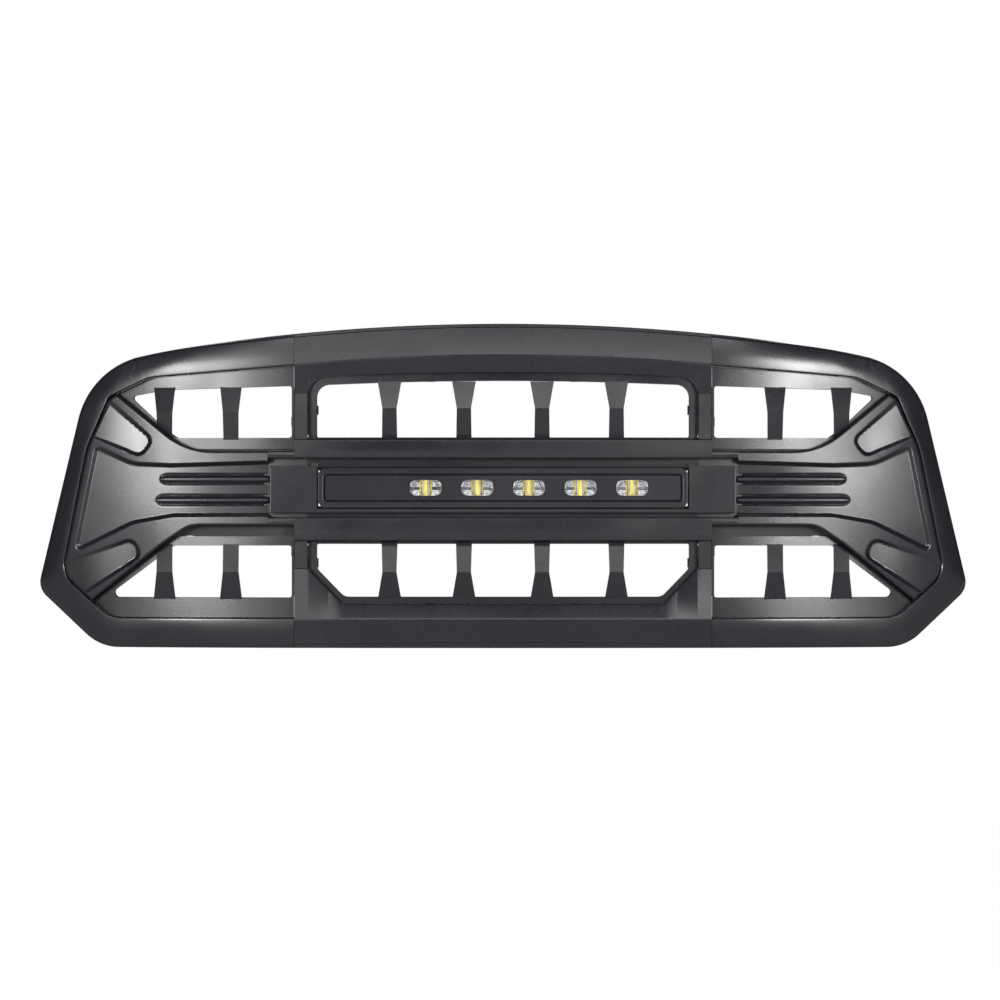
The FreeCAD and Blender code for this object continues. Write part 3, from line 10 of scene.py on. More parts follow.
import bpy
import numpy as np
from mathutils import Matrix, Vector


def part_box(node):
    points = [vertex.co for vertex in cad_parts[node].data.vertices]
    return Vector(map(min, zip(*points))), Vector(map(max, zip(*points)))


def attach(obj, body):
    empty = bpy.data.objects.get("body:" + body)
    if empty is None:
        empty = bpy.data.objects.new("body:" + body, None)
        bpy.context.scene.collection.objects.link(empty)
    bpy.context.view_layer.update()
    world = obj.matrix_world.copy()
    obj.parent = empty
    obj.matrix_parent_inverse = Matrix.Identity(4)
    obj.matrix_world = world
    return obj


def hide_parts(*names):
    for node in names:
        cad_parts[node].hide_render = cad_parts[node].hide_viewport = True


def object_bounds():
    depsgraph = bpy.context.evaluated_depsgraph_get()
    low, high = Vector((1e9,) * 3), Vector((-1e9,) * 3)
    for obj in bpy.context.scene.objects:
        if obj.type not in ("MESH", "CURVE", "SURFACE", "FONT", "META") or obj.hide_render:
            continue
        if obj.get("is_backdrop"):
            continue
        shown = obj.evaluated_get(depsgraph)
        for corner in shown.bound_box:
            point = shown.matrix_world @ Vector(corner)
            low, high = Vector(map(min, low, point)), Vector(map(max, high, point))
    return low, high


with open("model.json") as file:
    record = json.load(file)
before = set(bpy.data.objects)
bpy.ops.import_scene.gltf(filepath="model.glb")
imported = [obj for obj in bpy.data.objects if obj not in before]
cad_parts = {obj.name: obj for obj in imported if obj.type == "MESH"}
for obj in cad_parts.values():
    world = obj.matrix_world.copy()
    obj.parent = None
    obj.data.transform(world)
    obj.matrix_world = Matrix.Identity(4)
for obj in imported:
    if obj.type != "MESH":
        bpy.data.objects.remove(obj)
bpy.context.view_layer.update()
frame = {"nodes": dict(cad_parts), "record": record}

logging.basicConfig(level=logging.INFO, format="%(name)s: %(message)s")
log = logging.getLogger("grille")
MM = 0.001


# ---- plan curve ----------------------------------------------------------------------------------
@dataclass(frozen=True)
class Plan:
    """The curve that every moulding follows, seen from above, in millimetres."""

    centre_radius: float = 3400.0
    side_radius: float = 900.0
    join: float = 272.5

    def bow(self, x: np.ndarray) -> np.ndarray:
        """Y of the curve: a shallow arc to the join, then a tighter arc tangent to it.

        Args:
            x: places across the grille.

        Returns:
            y at each place.
        """
        across = np.abs(x)
        turn_at_join = math.asin(self.join / self.centre_radius)
        inner = self.centre_radius - np.sqrt(self.centre_radius ** 2 - np.minimum(across, self.join) ** 2)
        beyond = np.maximum(across - self.join, 0.0) / self.side_radius
        turn = np.arcsin(np.minimum(beyond + math.sin(turn_at_join), 1.0))
        return inner + self.side_radius * (math.cos(turn_at_join) - np.cos(turn))


PLAN = Plan()


# ---- meshes from grids ---------------------------------------------------------------------------
def new_piece(name: str, points: np.ndarray, faces: list, smooth_angle: float = 30.0) -> bpy.types.Object:
    """An object from points in millimetres and faces, smooth below an angle.

    Args:
        name: the piece's name.
        points: one row of x, y, z per vertex.
        faces: tuples of vertex numbers, outward by the right hand.
        smooth_angle: edges sharper than this, in degrees, stay sharp.

    Returns:
        The object, linked to the scene.
    """
    mesh = bpy.data.meshes.new(name)
    mesh.from_pydata((points * MM).tolist(), [], faces)
    mesh.update()
    mesh.shade_smooth()
    mesh.set_sharp_from_angle(angle=math.radians(smooth_angle))
    piece = bpy.data.objects.new(name, mesh)
    bpy.context.scene.collection.objects.link(piece)
    return piece


def grid_faces(rows: int, columns: int, wrap: bool) -> np.ndarray:
    """Quads of a grid of points numbered row by row.

    Args:
        rows: points across.
        columns: points along each row.
        wrap: True where the last row joins the first.

    Returns:
        An array of quads.
    """
    across = np.arange(rows if wrap else rows - 1)[:, None]
    along = np.arange(columns - 1)[None, :]
    after = (across + 1) % rows
    quads = np.stack([across * columns + along, across * columns + along + 1,
                      after * columns + along + 1, after * columns + along], axis=-1)
    return quads.reshape(-1, 4)


def tube(name: str, rows: np.ndarray, smooth_angle: float = 30.0) -> bpy.types.Object:
    """A closed solid: the same loop of points carried along, with a flat cap at each end.

    Args:
        name: the piece's name.
        rows: array (points of the loop, stations along it, 3), millimetres.
        smooth_angle: edges sharper than this, in degrees, stay sharp.

    Returns:
        The object, with its faces outwards.
    """
    loop, stations, _ = rows.shape
    quads = grid_faces(loop, stations, True)
    first = np.arange(loop) * stations
    faces = quads.tolist() + [first.tolist(), (first[::-1] + stations - 1).tolist()]
    points = rows.reshape(-1, 3)
    corners = points[quads]
    normals = np.cross(corners[:, 2] - corners[:, 0], corners[:, 3] - corners[:, 1])
    centre = points.mean(axis=0)
    volume = np.einsum("ij,ij->i", corners.mean(axis=1) - centre, normals).sum()
    if volume < 0:
        faces = [face[::-1] for face in faces]
    return new_piece(name, points, faces, smooth_angle)


def rounded(corners: list, run: int = 10, bend: int = 10) -> np.ndarray:
    """Points along a polyline whose corners are arcs, with a fixed count on each stretch.

    A corner with radius r is left and met r * tan(half its turn) away, and the arc between is the
    rational quadratic curve whose middle weight is the cosine of half the turn.

    Args:
        corners: (x, z, radius) in order; the first and last are plain ends.
        run: points on each straight.
        bend: points on each arc.

    Returns:
        An array of x, z.
    """
    spots = np.array([corner[:2] for corner in corners], float)
    pieces = []
    start = spots[0]
    for i in range(1, len(spots) - 1):
        back = spots[i - 1] - spots[i]
        ahead = spots[i + 1] - spots[i]
        back = back / np.linalg.norm(back)
        ahead = ahead / np.linalg.norm(ahead)
        half_turn = (math.pi - math.acos(float(np.clip(back @ ahead, -1, 1)))) / 2
        reach = corners[i][2] * math.tan(half_turn)
        enter = spots[i] + back * reach
        leave = spots[i] + ahead * reach
        share = np.linspace(0, 1, run, endpoint=False)[:, None]
        pieces.append(start + (enter - start) * share)
        t = np.linspace(0, 1, bend, endpoint=False)[:, None]
        weight = math.cos(half_turn)
        above = (1 - t) ** 2 * enter + 2 * weight * t * (1 - t) * spots[i] + t ** 2 * leave
        pieces.append(above / ((1 - t) ** 2 + 2 * weight * t * (1 - t) + t ** 2))
        start = leave
    share = np.linspace(0, 1, run + 1)[:, None]
    pieces.append(start + (spots[-1] - start) * share)
    return np.vstack(pieces)


def at_level(x: np.ndarray, z: np.ndarray, level: np.ndarray) -> np.ndarray:
    """Points of the plan curve moved back by a level.

    Args:
        x: places across.
        z: heights.
        level: distance in Y from the plan curve.

    Returns:
        An array of points, x, y and z last.
    """
    x, z, level = np.broadcast_arrays(x, z, level)
    return np.stack([x, PLAN.bow(x) + level, z], axis=-1)


def on_side(rows: np.ndarray, sign: float) -> np.ndarray:
    """Rows of the right side as they are for sign 1, or mirrored to the left for sign -1."""
    return rows * np.array([sign, 1.0, 1.0])


# ---- finishes ------------------------------------------------------------------------------------
def node_group(name: str, outputs: list, inputs: list) -> bpy.types.NodeTree:
    """An empty shader group with float inputs and float outputs.

    Args:
        name: the group's name.
        outputs: names of the float outputs.
        inputs: pairs of input name and default value.

    Returns:
        The group, with its input and output nodes in place.
    """
    group = bpy.data.node_groups.new(name, "ShaderNodeTree")
    for title, default in inputs:
        socket = group.interface.new_socket(title, in_out="INPUT", socket_type="NodeSocketFloat")
        socket.default_value = default
    for title in outputs:
        group.interface.new_socket(title, in_out="OUTPUT", socket_type="NodeSocketFloat")
    group.nodes.new("NodeGroupInput")
    group.nodes.new("NodeGroupOutput")
    return group


def add_node(tree: bpy.types.NodeTree, kind: str, links: dict, **settings: object) -> bpy.types.Node:
    """A node with properties or socket values set, and its inputs linked.

    Args:
        tree: the node tree.
        kind: Blender's node type.
        links: input name or number to the socket that feeds it.
        settings: node properties, or input values where the name is an input's.

    Returns:
        The node.
    """
    node = tree.nodes.new(kind)
    for key, value in settings.items():
        if hasattr(node, key):
            setattr(node, key, value)
        else:
            node.inputs[key.replace("_", " ")].default_value = value
    for key, source in links.items():
        tree.links.new(source, node.inputs[key])
    return node


def set_inputs(node: bpy.types.Node, values: dict) -> None:
    """Sets the values of a node's unlinked inputs, each by its name or number."""
    for key, value in values.items():
        node.inputs[key].default_value = value


def grain_group() -> bpy.types.NodeTree:
    """Moulded grain: a fine cell-like height, a broad unevenness, and a slow haze of handling.

    Inputs are Scale, in cells per metre, and Depth. Outputs are Height, Haze and Dust, all 0 to 1.
    """
    group = node_group("moulded_grain", ["Height", "Haze", "Dust"], [("Scale", 900.0), ("Depth", 1.0)])
    source = group.nodes["Group Input"].outputs
    place = add_node(group, "ShaderNodeTexCoord", {})
    cells = add_node(group, "ShaderNodeTexNoise",
                     {"Vector": place.outputs["Object"], "Scale": source["Scale"]}, Detail=2.0)
    broad = add_node(group, "ShaderNodeTexNoise", {"Vector": place.outputs["Object"]}, Scale=7.0, Detail=3.0)
    fleck = add_node(group, "ShaderNodeTexNoise",
                     {"Vector": place.outputs["Object"]}, Scale=160.0, Detail=4.0)
    height = add_node(group, "ShaderNodeMath", {0: cells.outputs["Fac"], 1: source["Depth"]},
                      operation="MULTIPLY")
    haze = add_node(group, "ShaderNodeMapRange", {"Value": broad.outputs["Fac"]})
    set_inputs(haze, {"From Min": 0.35, "From Max": 0.65})
    dust = add_node(group, "ShaderNodeMapRange", {"Value": fleck.outputs["Fac"]})
    set_inputs(dust, {"From Min": 0.56, "From Max": 0.74})
    target = group.nodes["Group Output"].inputs
    group.links.new(height.outputs[0], target["Height"])
    group.links.new(haze.outputs["Result"], target["Haze"])
    group.links.new(dust.outputs["Result"], target["Dust"])
    return group


class Surface(Enum):
    """How a finish's colour changes over the surface."""

    PLAIN = "plain"
    DUSTED = "dusted"


@dataclass(frozen=True)
class Finish:
    """An opaque finish: colour, gloss and grain."""

    name: str
    colour: tuple
    roughness: float
    metallic: float = 0.0
    specular: float = 0.42
    coat: float = 0.0
    grain_scale: float = 900.0
    grain_depth: float = 0.0
    spread: float = 0.06
    surface: Surface = Surface.DUSTED
    light_colour: tuple = (0.05, 0.05, 0.058)
    light_share: float = 0.10
    coat_roughness: float = 0.12
    grain_height: float = 0.0002

    def build(self, grain: bpy.types.NodeTree) -> bpy.types.Material:
        """The material: grain drives the bump, haze the roughness, dust the colour.

        Args:
            grain: the shared grain group.

        Returns:
            The material.
        """
        material = bpy.data.materials.new(self.name)
        material.use_nodes = True
        tree = material.node_tree
        shader = tree.nodes["Principled BSDF"]
        set_inputs(shader, {"Metallic": self.metallic, "Specular IOR Level": self.specular,
                            "Coat Weight": self.coat, "Coat Roughness": self.coat_roughness})
        texture = tree.nodes.new("ShaderNodeGroup")
        texture.node_tree = grain
        set_inputs(texture, {"Scale": self.grain_scale})
        rough = add_node(tree, "ShaderNodeMapRange", {"Value": texture.outputs["Haze"]})
        set_inputs(rough, {"To Min": self.roughness - self.spread,
                           "To Max": self.roughness + self.spread})
        tree.links.new(rough.outputs["Result"], shader.inputs["Roughness"])
        factor = texture.outputs["Dust"] if self.surface is Surface.DUSTED else texture.outputs["Haze"]
        share = add_node(tree, "ShaderNodeMath", {0: factor}, operation="MULTIPLY")
        set_inputs(share, {1: self.light_share})
        mix = tree.nodes.new("ShaderNodeMix")
        mix.data_type = "RGBA"
        tree.links.new(share.outputs[0], mix.inputs["Factor"])
        set_inputs(mix, {6: (*self.colour, 1.0), 7: (*self.light_colour, 1.0)})
        tree.links.new(mix.outputs[2], shader.inputs["Base Color"])
        if self.grain_depth > 0:
            bump = add_node(tree, "ShaderNodeBump", {"Height": texture.outputs["Height"]})
            set_inputs(bump, {"Strength": self.grain_depth, "Distance": self.grain_height})
            tree.links.new(bump.outputs["Normal"], shader.inputs["Normal"])
        return material


@dataclass(frozen=True)
class ClearPlastic:
    """A clear moulded lens."""

    name: str
    tint: tuple = (0.97, 0.98, 1.0)
    roughness: float = 0.03

    def build(self) -> bpy.types.Material:
        """The material: transmission with a fine optic ripple in its normal."""
        material = bpy.data.materials.new(self.name)
        material.use_nodes = True
        tree = material.node_tree
        shader = tree.nodes["Principled BSDF"]
        set_inputs(shader, {"Base Color": (*self.tint, 1.0), "Transmission Weight": 1.0,
                            "Roughness": self.roughness, "IOR": 1.45})
        place = add_node(tree, "ShaderNodeTexCoord", {})
        ripple = add_node(tree, "ShaderNodeTexNoise", {"Vector": place.outputs["Object"]}, Scale=90.0)
        bump = add_node(tree, "ShaderNodeBump", {"Height": ripple.outputs["Fac"]})
        set_inputs(bump, {"Strength": 0.08, "Distance": 0.0005})
        tree.links.new(bump.outputs["Normal"], shader.inputs["Normal"])
        return material


BLACK = (0.010, 0.0095, 0.0125)
FINISHES = {
    "black_moulding": Finish("black_moulding", BLACK, 0.27, grain_depth=0.08),
    "black_panel": Finish("black_panel", BLACK, 0.34, grain_depth=0.1),
    "bar_trim": Finish("bar_trim", (0.012, 0.012, 0.015), 0.28, spread=0.04),
    "reflector": Finish("reflector", (0.93, 0.93, 0.94), 0.10, metallic=1.0, spread=0.03,
                        surface=Surface.PLAIN, light_colour=(0.86, 0.87, 0.90)),
    "black_aluminium": Finish("black_aluminium", (0.03, 0.03, 0.034), 0.45, metallic=0.6, grain_depth=0.3,
                              grain_scale=1500.0),
    "circuit_board": Finish("circuit_board", (0.75, 0.76, 0.74), 0.35, surface=Surface.PLAIN,
                            light_colour=(0.6, 0.62, 0.6)),
    "led": Finish("led", (0.90, 0.72, 0.12), 0.45, surface=Surface.PLAIN, light_colour=(0.95, 0.80, 0.25)),
    "rubber": Finish("rubber", (0.022, 0.022, 0.022), 0.75, grain_depth=0.5, grain_scale=600.0),
    "connector_plastic": Finish("connector_plastic", (0.03, 0.03, 0.033), 0.5, grain_depth=0.3),
    "coated_steel": Finish("coated_steel", (0.025, 0.025, 0.028), 0.5, coat=0.3, grain_depth=0.4,
                           grain_scale=400.0),
    "zinc_steel": Finish("zinc_steel", (0.62, 0.61, 0.57), 0.32, metallic=1.0, grain_depth=0.2,
                         surface=Surface.PLAIN, light_colour=(0.50, 0.49, 0.44))}


@dataclass
class Paint:
    """All finishes of the grille, built once, and the means to put one on a piece."""

    materials: dict = field(default_factory=dict)

    def mix(self) -> None:
        """Builds every finish on one shared grain group."""
        grain = grain_group()
        for slot, finish in FINISHES.items():
            self.materials[slot] = finish.build(grain)
        self.materials["clear_lens"] = ClearPlastic("clear_lens").build()

    def put_on(self, piece: bpy.types.Object, slot: str) -> None:
        """Gives a piece one finish all over.

        Args:
            piece: the object.
            slot: the record's material slot.
        """
        piece.data.materials.clear()
        piece.data.materials.append(self.materials[slot])

    def mount(self, piece: bpy.types.Object, slot: str, body: str = "root", stands_for: str = "") -> None:
        """Paints a new piece, names its slot and makes it ride on a body.

        Args:
            piece: the object.
            slot: the record's material slot.
            body: the body that carries it.
            stands_for: the frame's node that the piece replaces, if any.
        """
        self.put_on(piece, slot)
        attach(piece, body)
        if stands_for:
            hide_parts(stands_for)
        log.info("%s: %d faces", piece.name, len(piece.data.polygons))


# ---- front skins of the surround -----------------------------------------------------------------
@dataclass
class SurroundSkins:
    """The sculpted front of the three surround pieces, in millimetres.

    Each skin is a loop of (height, level) points carried across or round the grille. It stands on
    the flat front of its moulding, whose walls, ribs and bosses carry on behind it.
    """

    half_width: float = 614.0
    top_z: float = 212.0
    bottom_z: float = -210.8
    seam_x: float = 272.3
    post_inner: float = 255.0
    base: float = -54.4
    edge: float = -56.6
    crest: float = -63.5
    arch_z: float = 148.6
    arch_fall: float = 5.0
    corner_x: float = 232.0
    corner_z: float = 120.6
    corner_radius: float = 23.0
    floor_z: float = -153.5
    chamfer_x: float = 210.0
    chamfer_end: float = -106.5
    chamfer_slope: float = 45.9 / 44.0
    lower_crease: float = -173.7

    def top_edge(self, x: np.ndarray) -> np.ndarray:
        """Height of the crowned top edge: an arc that falls 34 mm by x = 440."""
        radius = 2864.0
        return self.top_z - radius + np.sqrt(radius ** 2 - x ** 2)

    def bar_rows(self, x: np.ndarray, inner: np.ndarray, crease: np.ndarray, outer: np.ndarray) -> np.ndarray:
        """The loop of a bar with two facets that meet in a crease, with rounded lips.

        Args:
            x: stations across.
            inner: height of the opening's edge at each station.
            crease: height of the crease.
            outer: height of the outer edge.

        Returns:
            Rows for tube().
        """
        up = np.sign(outer - inner)
        ramp = [(inner, self.base), (inner, self.edge + 0.6), (inner + up * 0.5, self.edge - 0.4),
                (inner + up * 1.6, self.edge - 1.0),
                (crease - up * 2.2, self.crest + 0.75), (crease - up * 0.8, self.crest + 0.1),
                (crease + up * 0.8, self.crest), (crease + up * 2.4, self.crest + 0.35),
                (outer - up * 6.5, self.edge - 2.2), (outer - up * 5.2, self.edge - 2.0),
                (outer - up * 4.4, self.edge - 1.2), (outer - up * 4.0, self.edge - 0.1),
                (outer - up * 1.0, self.edge + 0.3), (outer - up * 0.2, self.edge + 1.0),
                (outer, self.edge + 1.6), (outer, self.base)]
        return np.stack([at_level(x, height, level) for height, level in ramp])

    def build(self, paint: Paint) -> None:
        """Makes the centre bars, the post faces and both end rims.

        Args:
            paint: the finishes.
        """
        x = np.unique(np.concatenate([np.linspace(-self.seam_x, self.seam_x, 90),
                                      np.linspace(210.0, 256.0, 24), -np.linspace(210.0, 256.0, 24)]))
        across = np.abs(x)
        arch = self.arch_z - self.arch_fall * (across / self.corner_x) ** 2
        past = np.maximum(across - self.corner_x, 0.0)
        corner = self.corner_z + np.sqrt(np.maximum(self.corner_radius ** 2 - past ** 2, 0.0))
        inner = np.where(across < self.corner_x, arch,
                         np.where(across < self.post_inner, corner, self.corner_z))
        crease = 170.0 - 11.0 * (across / 267.0) ** 2
        rows = self.bar_rows(x, inner, crease, self.top_edge(x))
        paint.mount(tube("surround_top_bar_face", rows), "black_moulding")
        chamfer = self.floor_z + (across - self.chamfer_x) * self.chamfer_slope
        inner = np.where(across < self.chamfer_x, self.floor_z,
                         np.where(across < self.post_inner, chamfer, self.chamfer_end))
        outer = self.bottom_z + 3.3 * (1.0 - (across / 300.0) ** 2)
        crease = np.full_like(x, self.lower_crease)
        rows = self.bar_rows(x, inner, crease, outer)
        paint.mount(tube("surround_bottom_bar_face", rows), "black_moulding")
        for sign, side in ((-1.0, "left"), (1.0, "right")):
            for low, high, word in ((58.0, 121.0, "upper"), (-107.0, -67.0, "lower")):
                z = np.linspace(low, high, 12)
                near, far = self.post_inner, self.seam_x
                loop = [(near, self.base), (near, self.edge + 0.5), (near + 0.6, self.edge),
                        (far - 0.6, self.edge), (far, self.edge + 0.5), (far, self.base)]
                rows = np.stack([at_level(np.full_like(z, sign * place), z, level) for place, level in loop])
                paint.mount(tube(f"post_face_{word}_{side}", rows), "black_moulding")
            paint.mount(tube(f"surround_rim_face_{side}", self.rim_rows(sign)), "black_moulding")

    def rim_rows(self, sign: float) -> np.ndarray:
        """The loop of an end rim, carried round it from the top seam to the bottom seam.

        Each row lies a share of the way from the inner edge to the outer edge, plus a length.

        Args:
            sign: -1 for the left end, 1 for the right.

        Returns:
            Rows for tube().
        """
        wide = self.half_width
        start = self.seam_x + 0.5
        inner = rounded([(start, self.top_z - 54.4, 0), (wide - 152.0, self.top_z - 69.0, 60.0),
                         (wide - 96.5, self.top_z - 94.0, 15.0), (wide - 67.0, self.top_z - 160.0, 150.0),
                         (wide - 33.0, self.bottom_z + 95.8, 35.0),
                         (wide - 97.0, self.bottom_z + 39.3, 45.0), (start, self.bottom_z + 39.3, 0)])
        edge_z = float(self.top_edge(np.array([start]))[0])
        outer = rounded([(start, edge_z, 0), (wide - 174.0, self.top_z - 33.6, 900.0),
                         (wide - 71.0, self.top_z - 57.0, 110.0), (wide - 45.8, self.top_z - 160.0, 150.0),
                         (wide, self.bottom_z + 76.8, 25.0), (wide - 84.6, self.bottom_z, 65.0),
                         (start, self.bottom_z, 0)])
        gap = outer - inner
        width = np.linalg.norm(gap, axis=1, keepdims=True)
        away = gap / width
        loop = [(0.0, 0.0, self.base), (0.0, 0.0, self.edge - 3.0), (0.0, 0.5, self.edge - 4.6),
                (0.0, 1.8, self.edge - 5.6), (0.0, 3.6, self.edge - 5.8), (0.5, -1.5, self.edge - 4.2),
                (1.0, -5.6, self.edge - 1.6), (1.0, -4.4, self.edge - 1.3), (1.0, -3.9, self.edge - 0.5),
                (1.0, -2.6, self.edge + 0.2), (1.0, -0.8, self.edge + 0.6), (1.0, 0.0, self.edge + 1.5),
                (1.0, 0.0, self.base)]
        rows = []
        for share, length, level in loop:
            spot = inner + gap * share + away * length
            rows.append(at_level(spot[:, 0], spot[:, 1], level))
        return on_side(np.stack(rows), sign)


# ---- crossbar fascia -----------------------------------------------------------------------------
WING_MIDDLE = np.array([470.0, 0.0])


def smooth_step(share: np.ndarray) -> np.ndarray:
    """0 below 0, 1 above 1, and 3 s^2 - 2 s^3 between."""
    held = np.clip(share, 0.0, 1.0)
    return held * held * (3.0 - 2.0 * held)


def evenly(curve: np.ndarray, count: int) -> np.ndarray:
    """A curve's points spread evenly along its length.

    Args:
        curve: array of x, z.
        count: how many points.

    Returns:
        An array of x, z.
    """
    steps = np.concatenate([[0.0], np.cumsum(np.linalg.norm(np.diff(curve, axis=0), axis=1))])
    places = np.linspace(0.0, steps[-1], count)
    return np.stack([np.interp(places, steps, curve[:, 0]), np.interp(places, steps, curve[:, 1])], axis=-1)


def distance_to(points: np.ndarray, line: np.ndarray, closed: bool) -> np.ndarray:
    """Distance from each point to a polyline, positive inside where it is closed.

    For each segment the nearest spot is the start plus the clipped share of the segment; the sign
    counts how often a ray along x crosses the polyline.

    Args:
        points: array (..., 2).
        line: array of x, z.
        closed: True where the last point joins the first and the sign is wanted.

    Returns:
        An array of distances.
    """
    ends = np.roll(line, -1, axis=0) if closed else line[1:]
    starts = line if closed else line[:-1]
    flat = points.reshape(-1, 2)
    nearest = np.full(len(flat), np.inf)
    inside = np.zeros(len(flat), bool)
    for start, end in zip(starts, ends):
        along = end - start
        share = np.clip(((flat - start) @ along) / max(along @ along, 1e-9), 0.0, 1.0)
        nearest = np.minimum(nearest, np.linalg.norm(flat - start - share[:, None] * along, axis=1))
        if closed and start[1] != end[1]:
            spans = (start[1] > flat[:, 1]) != (end[1] > flat[:, 1])
            crossing = start[0] + (flat[:, 1] - start[1]) * along[0] / along[1]
            inside ^= spans & (flat[:, 0] < crossing)
    signed = np.where(inside, nearest, -nearest) if closed else nearest
    return signed.reshape(points.shape[:-1])


def away_from_wing(curve: np.ndarray) -> np.ndarray:
    """Unit vectors square to a curve, on the side away from the wing's middle.

    Args:
        curve: an edge of the right wing, an array of x, z.

    Returns:
        An array of x, z.
    """
    along = np.gradient(curve, axis=0)
    along = along / np.linalg.norm(along, axis=1, keepdims=True)
    away = np.stack([-along[:, 1], along[:, 0]], axis=-1)
    middle = len(curve) // 2
    return away if away[middle] @ (curve[middle] - WING_MIDDLE) > 0 else -away


def ring(corners: list) -> np.ndarray:
    """A closed outline from corners (x, z, radius), starting half-way along its last side."""
    first, last = np.array(corners[0][:2]), np.array(corners[-1][:2])
    middle = (first + last) / 2
    ends = (float(middle[0]), float(middle[1]), 0)
    return rounded([ends] + corners + [ends], run=4, bend=8)[:-1]


@dataclass
class Fascia:
    """Crossbars and wings: thin-walled mouldings that stand in front of the posts, in millimetres."""

    half_width: float = 614.0
    top_z: float = 212.0
    bottom_z: float = -210.8
    seam_x: float = 272.4
    window_x: float = 307.0
    upper_low: float = 36.5
    upper_top: float = 61.8
    lower_top: float = -40.2
    lower_low: float = -71.3
    wing_top: float = 46.0
    wing_low: float = -51.1
    front: float = -62.0
    back: float = -44.0
    wall: float = 3.0
    wall_recess: float = 2.4
    flare_depth: float = 15.0
    pocket_depth: float = 8.0
    crown: float = 4.0
    rib_half: float = 4.4
    rib_proud: float = 5.0
    columns: int = 236
    rows: int = 200
    edge_drop: float = 2.2
    edge_width: float = 3.0
    flare_step: float = 1.6
    flare_edge: float = 5.5
    pocket_step: float = 1.2
    pocket_edge: float = 4.8
    pocket_lead: float = 1.2
    pocket_starts: tuple = (150.0, 132.0)
    pocket_end: float = 62.0
    rib_ends: tuple = ((9.5, 450.0), (-17.9, 455.0))
    rib_round: float = 12.0
    rib_groove: float = 0.3

    def top_side(self) -> np.ndarray:
        """The wing's upper edge, from the window out along the arm to its tip."""
        return rounded([(self.window_x, self.wing_top, 0), (self.half_width - 200.0, self.wing_top, 100.0),
                        (self.half_width - 107.0, self.top_z - 91.0, 0)])

    def bottom_side(self) -> np.ndarray:
        """The wing's lower edge, from the window out along the arm to its tip."""
        return rounded([(self.window_x, self.wing_low, 0), (self.half_width - 204.5, self.wing_low, 40.0),
                        (self.half_width - 167.0, self.bottom_z + 134.5, 14.0),
                        (self.half_width - 73.0, self.bottom_z + 61.5, 0)])

    def rim_side(self) -> np.ndarray:
        """The wing's outer edge along the rim, from the lower tip to the upper."""
        return rounded([(self.half_width - 73.0, self.bottom_z + 61.5, 0),
                        (self.half_width - 33.6, self.bottom_z + 97.0, 35.0),
                        (self.half_width - 67.6, self.top_z - 160.0, 150.0),
                        (self.half_width - 98.3, self.top_z - 96.0, 10.0),
                        (self.half_width - 107.0, self.top_z - 91.0, 0)])

    def wing_grid(self) -> np.ndarray:
        """Points of the wing, x and z: the blend of its four sides less the blend of its corners."""
        u = np.linspace(0, 1, self.columns)[None, :, None]
        v = np.linspace(0, 1, self.rows)[:, None, None]
        low = evenly(self.bottom_side(), self.columns)[None]
        high = evenly(self.top_side(), self.columns)[None]
        near = np.array([[self.window_x, self.wing_low]]) + v[:, 0] * np.array(
            [[0.0, self.wing_top - self.wing_low]])
        near = near[:, None]
        far = evenly(self.rim_side(), self.rows)[:, None]
        sides = (1 - v) * low + v * high + (1 - u) * near + u * far
        corners = ((1 - u) * (1 - v) * low[:, :1] + u * (1 - v) * low[:, -1:]
                   + (1 - u) * v * high[:, :1] + u * v * high[:, -1:])
        return sides - corners

    def flare(self) -> np.ndarray:
        """Outline of the recess that flares outwards from the light panel."""
        wide = self.half_width
        inner = self.window_x - 12.0
        return ring([(inner, 28.9, 2.0), (wide - 180.0, 24.8, 60.0), (wide - 128.0, 27.0, 60.0),
                     (wide - 82.2, 48.0, 1.5), (wide - 56.0, -79.1, 1.5), (wide - 128.0, -44.2, 60.0),
                     (wide - 182.0, -34.9, 60.0), (inner, -34.3, 2.0)])

    def pocket(self, upper: bool) -> np.ndarray:
        """Outline of a tongue between an arm and the wing's root."""
        wide = self.half_width
        if upper:
            return ring([(wide - 94.0, self.top_z - 96.0, 1.0), (wide - 157.5, 61.0, 12.4),
                         (wide - 139.0, 38.5, 12.4), (wide - 68.0, self.top_z - 144.5, 1.0)])
        return ring([(wide - 30.0, self.bottom_z + 110.0, 1.0), (wide - 129.0, -67.0, 12.4),
                     (wide - 141.0, -91.5, 12.4), (wide - 56.0, self.bottom_z + 65.0, 1.0)])

    def rib_height(self, grid: np.ndarray) -> np.ndarray:
        """How far the flare's two tapering ribs stand proud, 0 to 1."""
        height = np.zeros(grid.shape[:-1])
        for middle, tip in self.rib_ends:
            past = np.clip((grid[..., 0] - (tip - self.rib_round)) / self.rib_round, 0.0, 1.0)
            half = self.rib_half * np.sqrt(1.0 - past ** 2) + 0.01
            off = np.abs(grid[..., 1] - middle) / half
            crown = np.sqrt(np.clip(1.0 - off ** 2, 0.0, 1.0))
            groove = self.rib_groove * np.exp(-((off - 1.35) / 0.3) ** 2)
            height = height + np.where(grid[..., 0] < tip, crown - groove, 0.0)
        return height

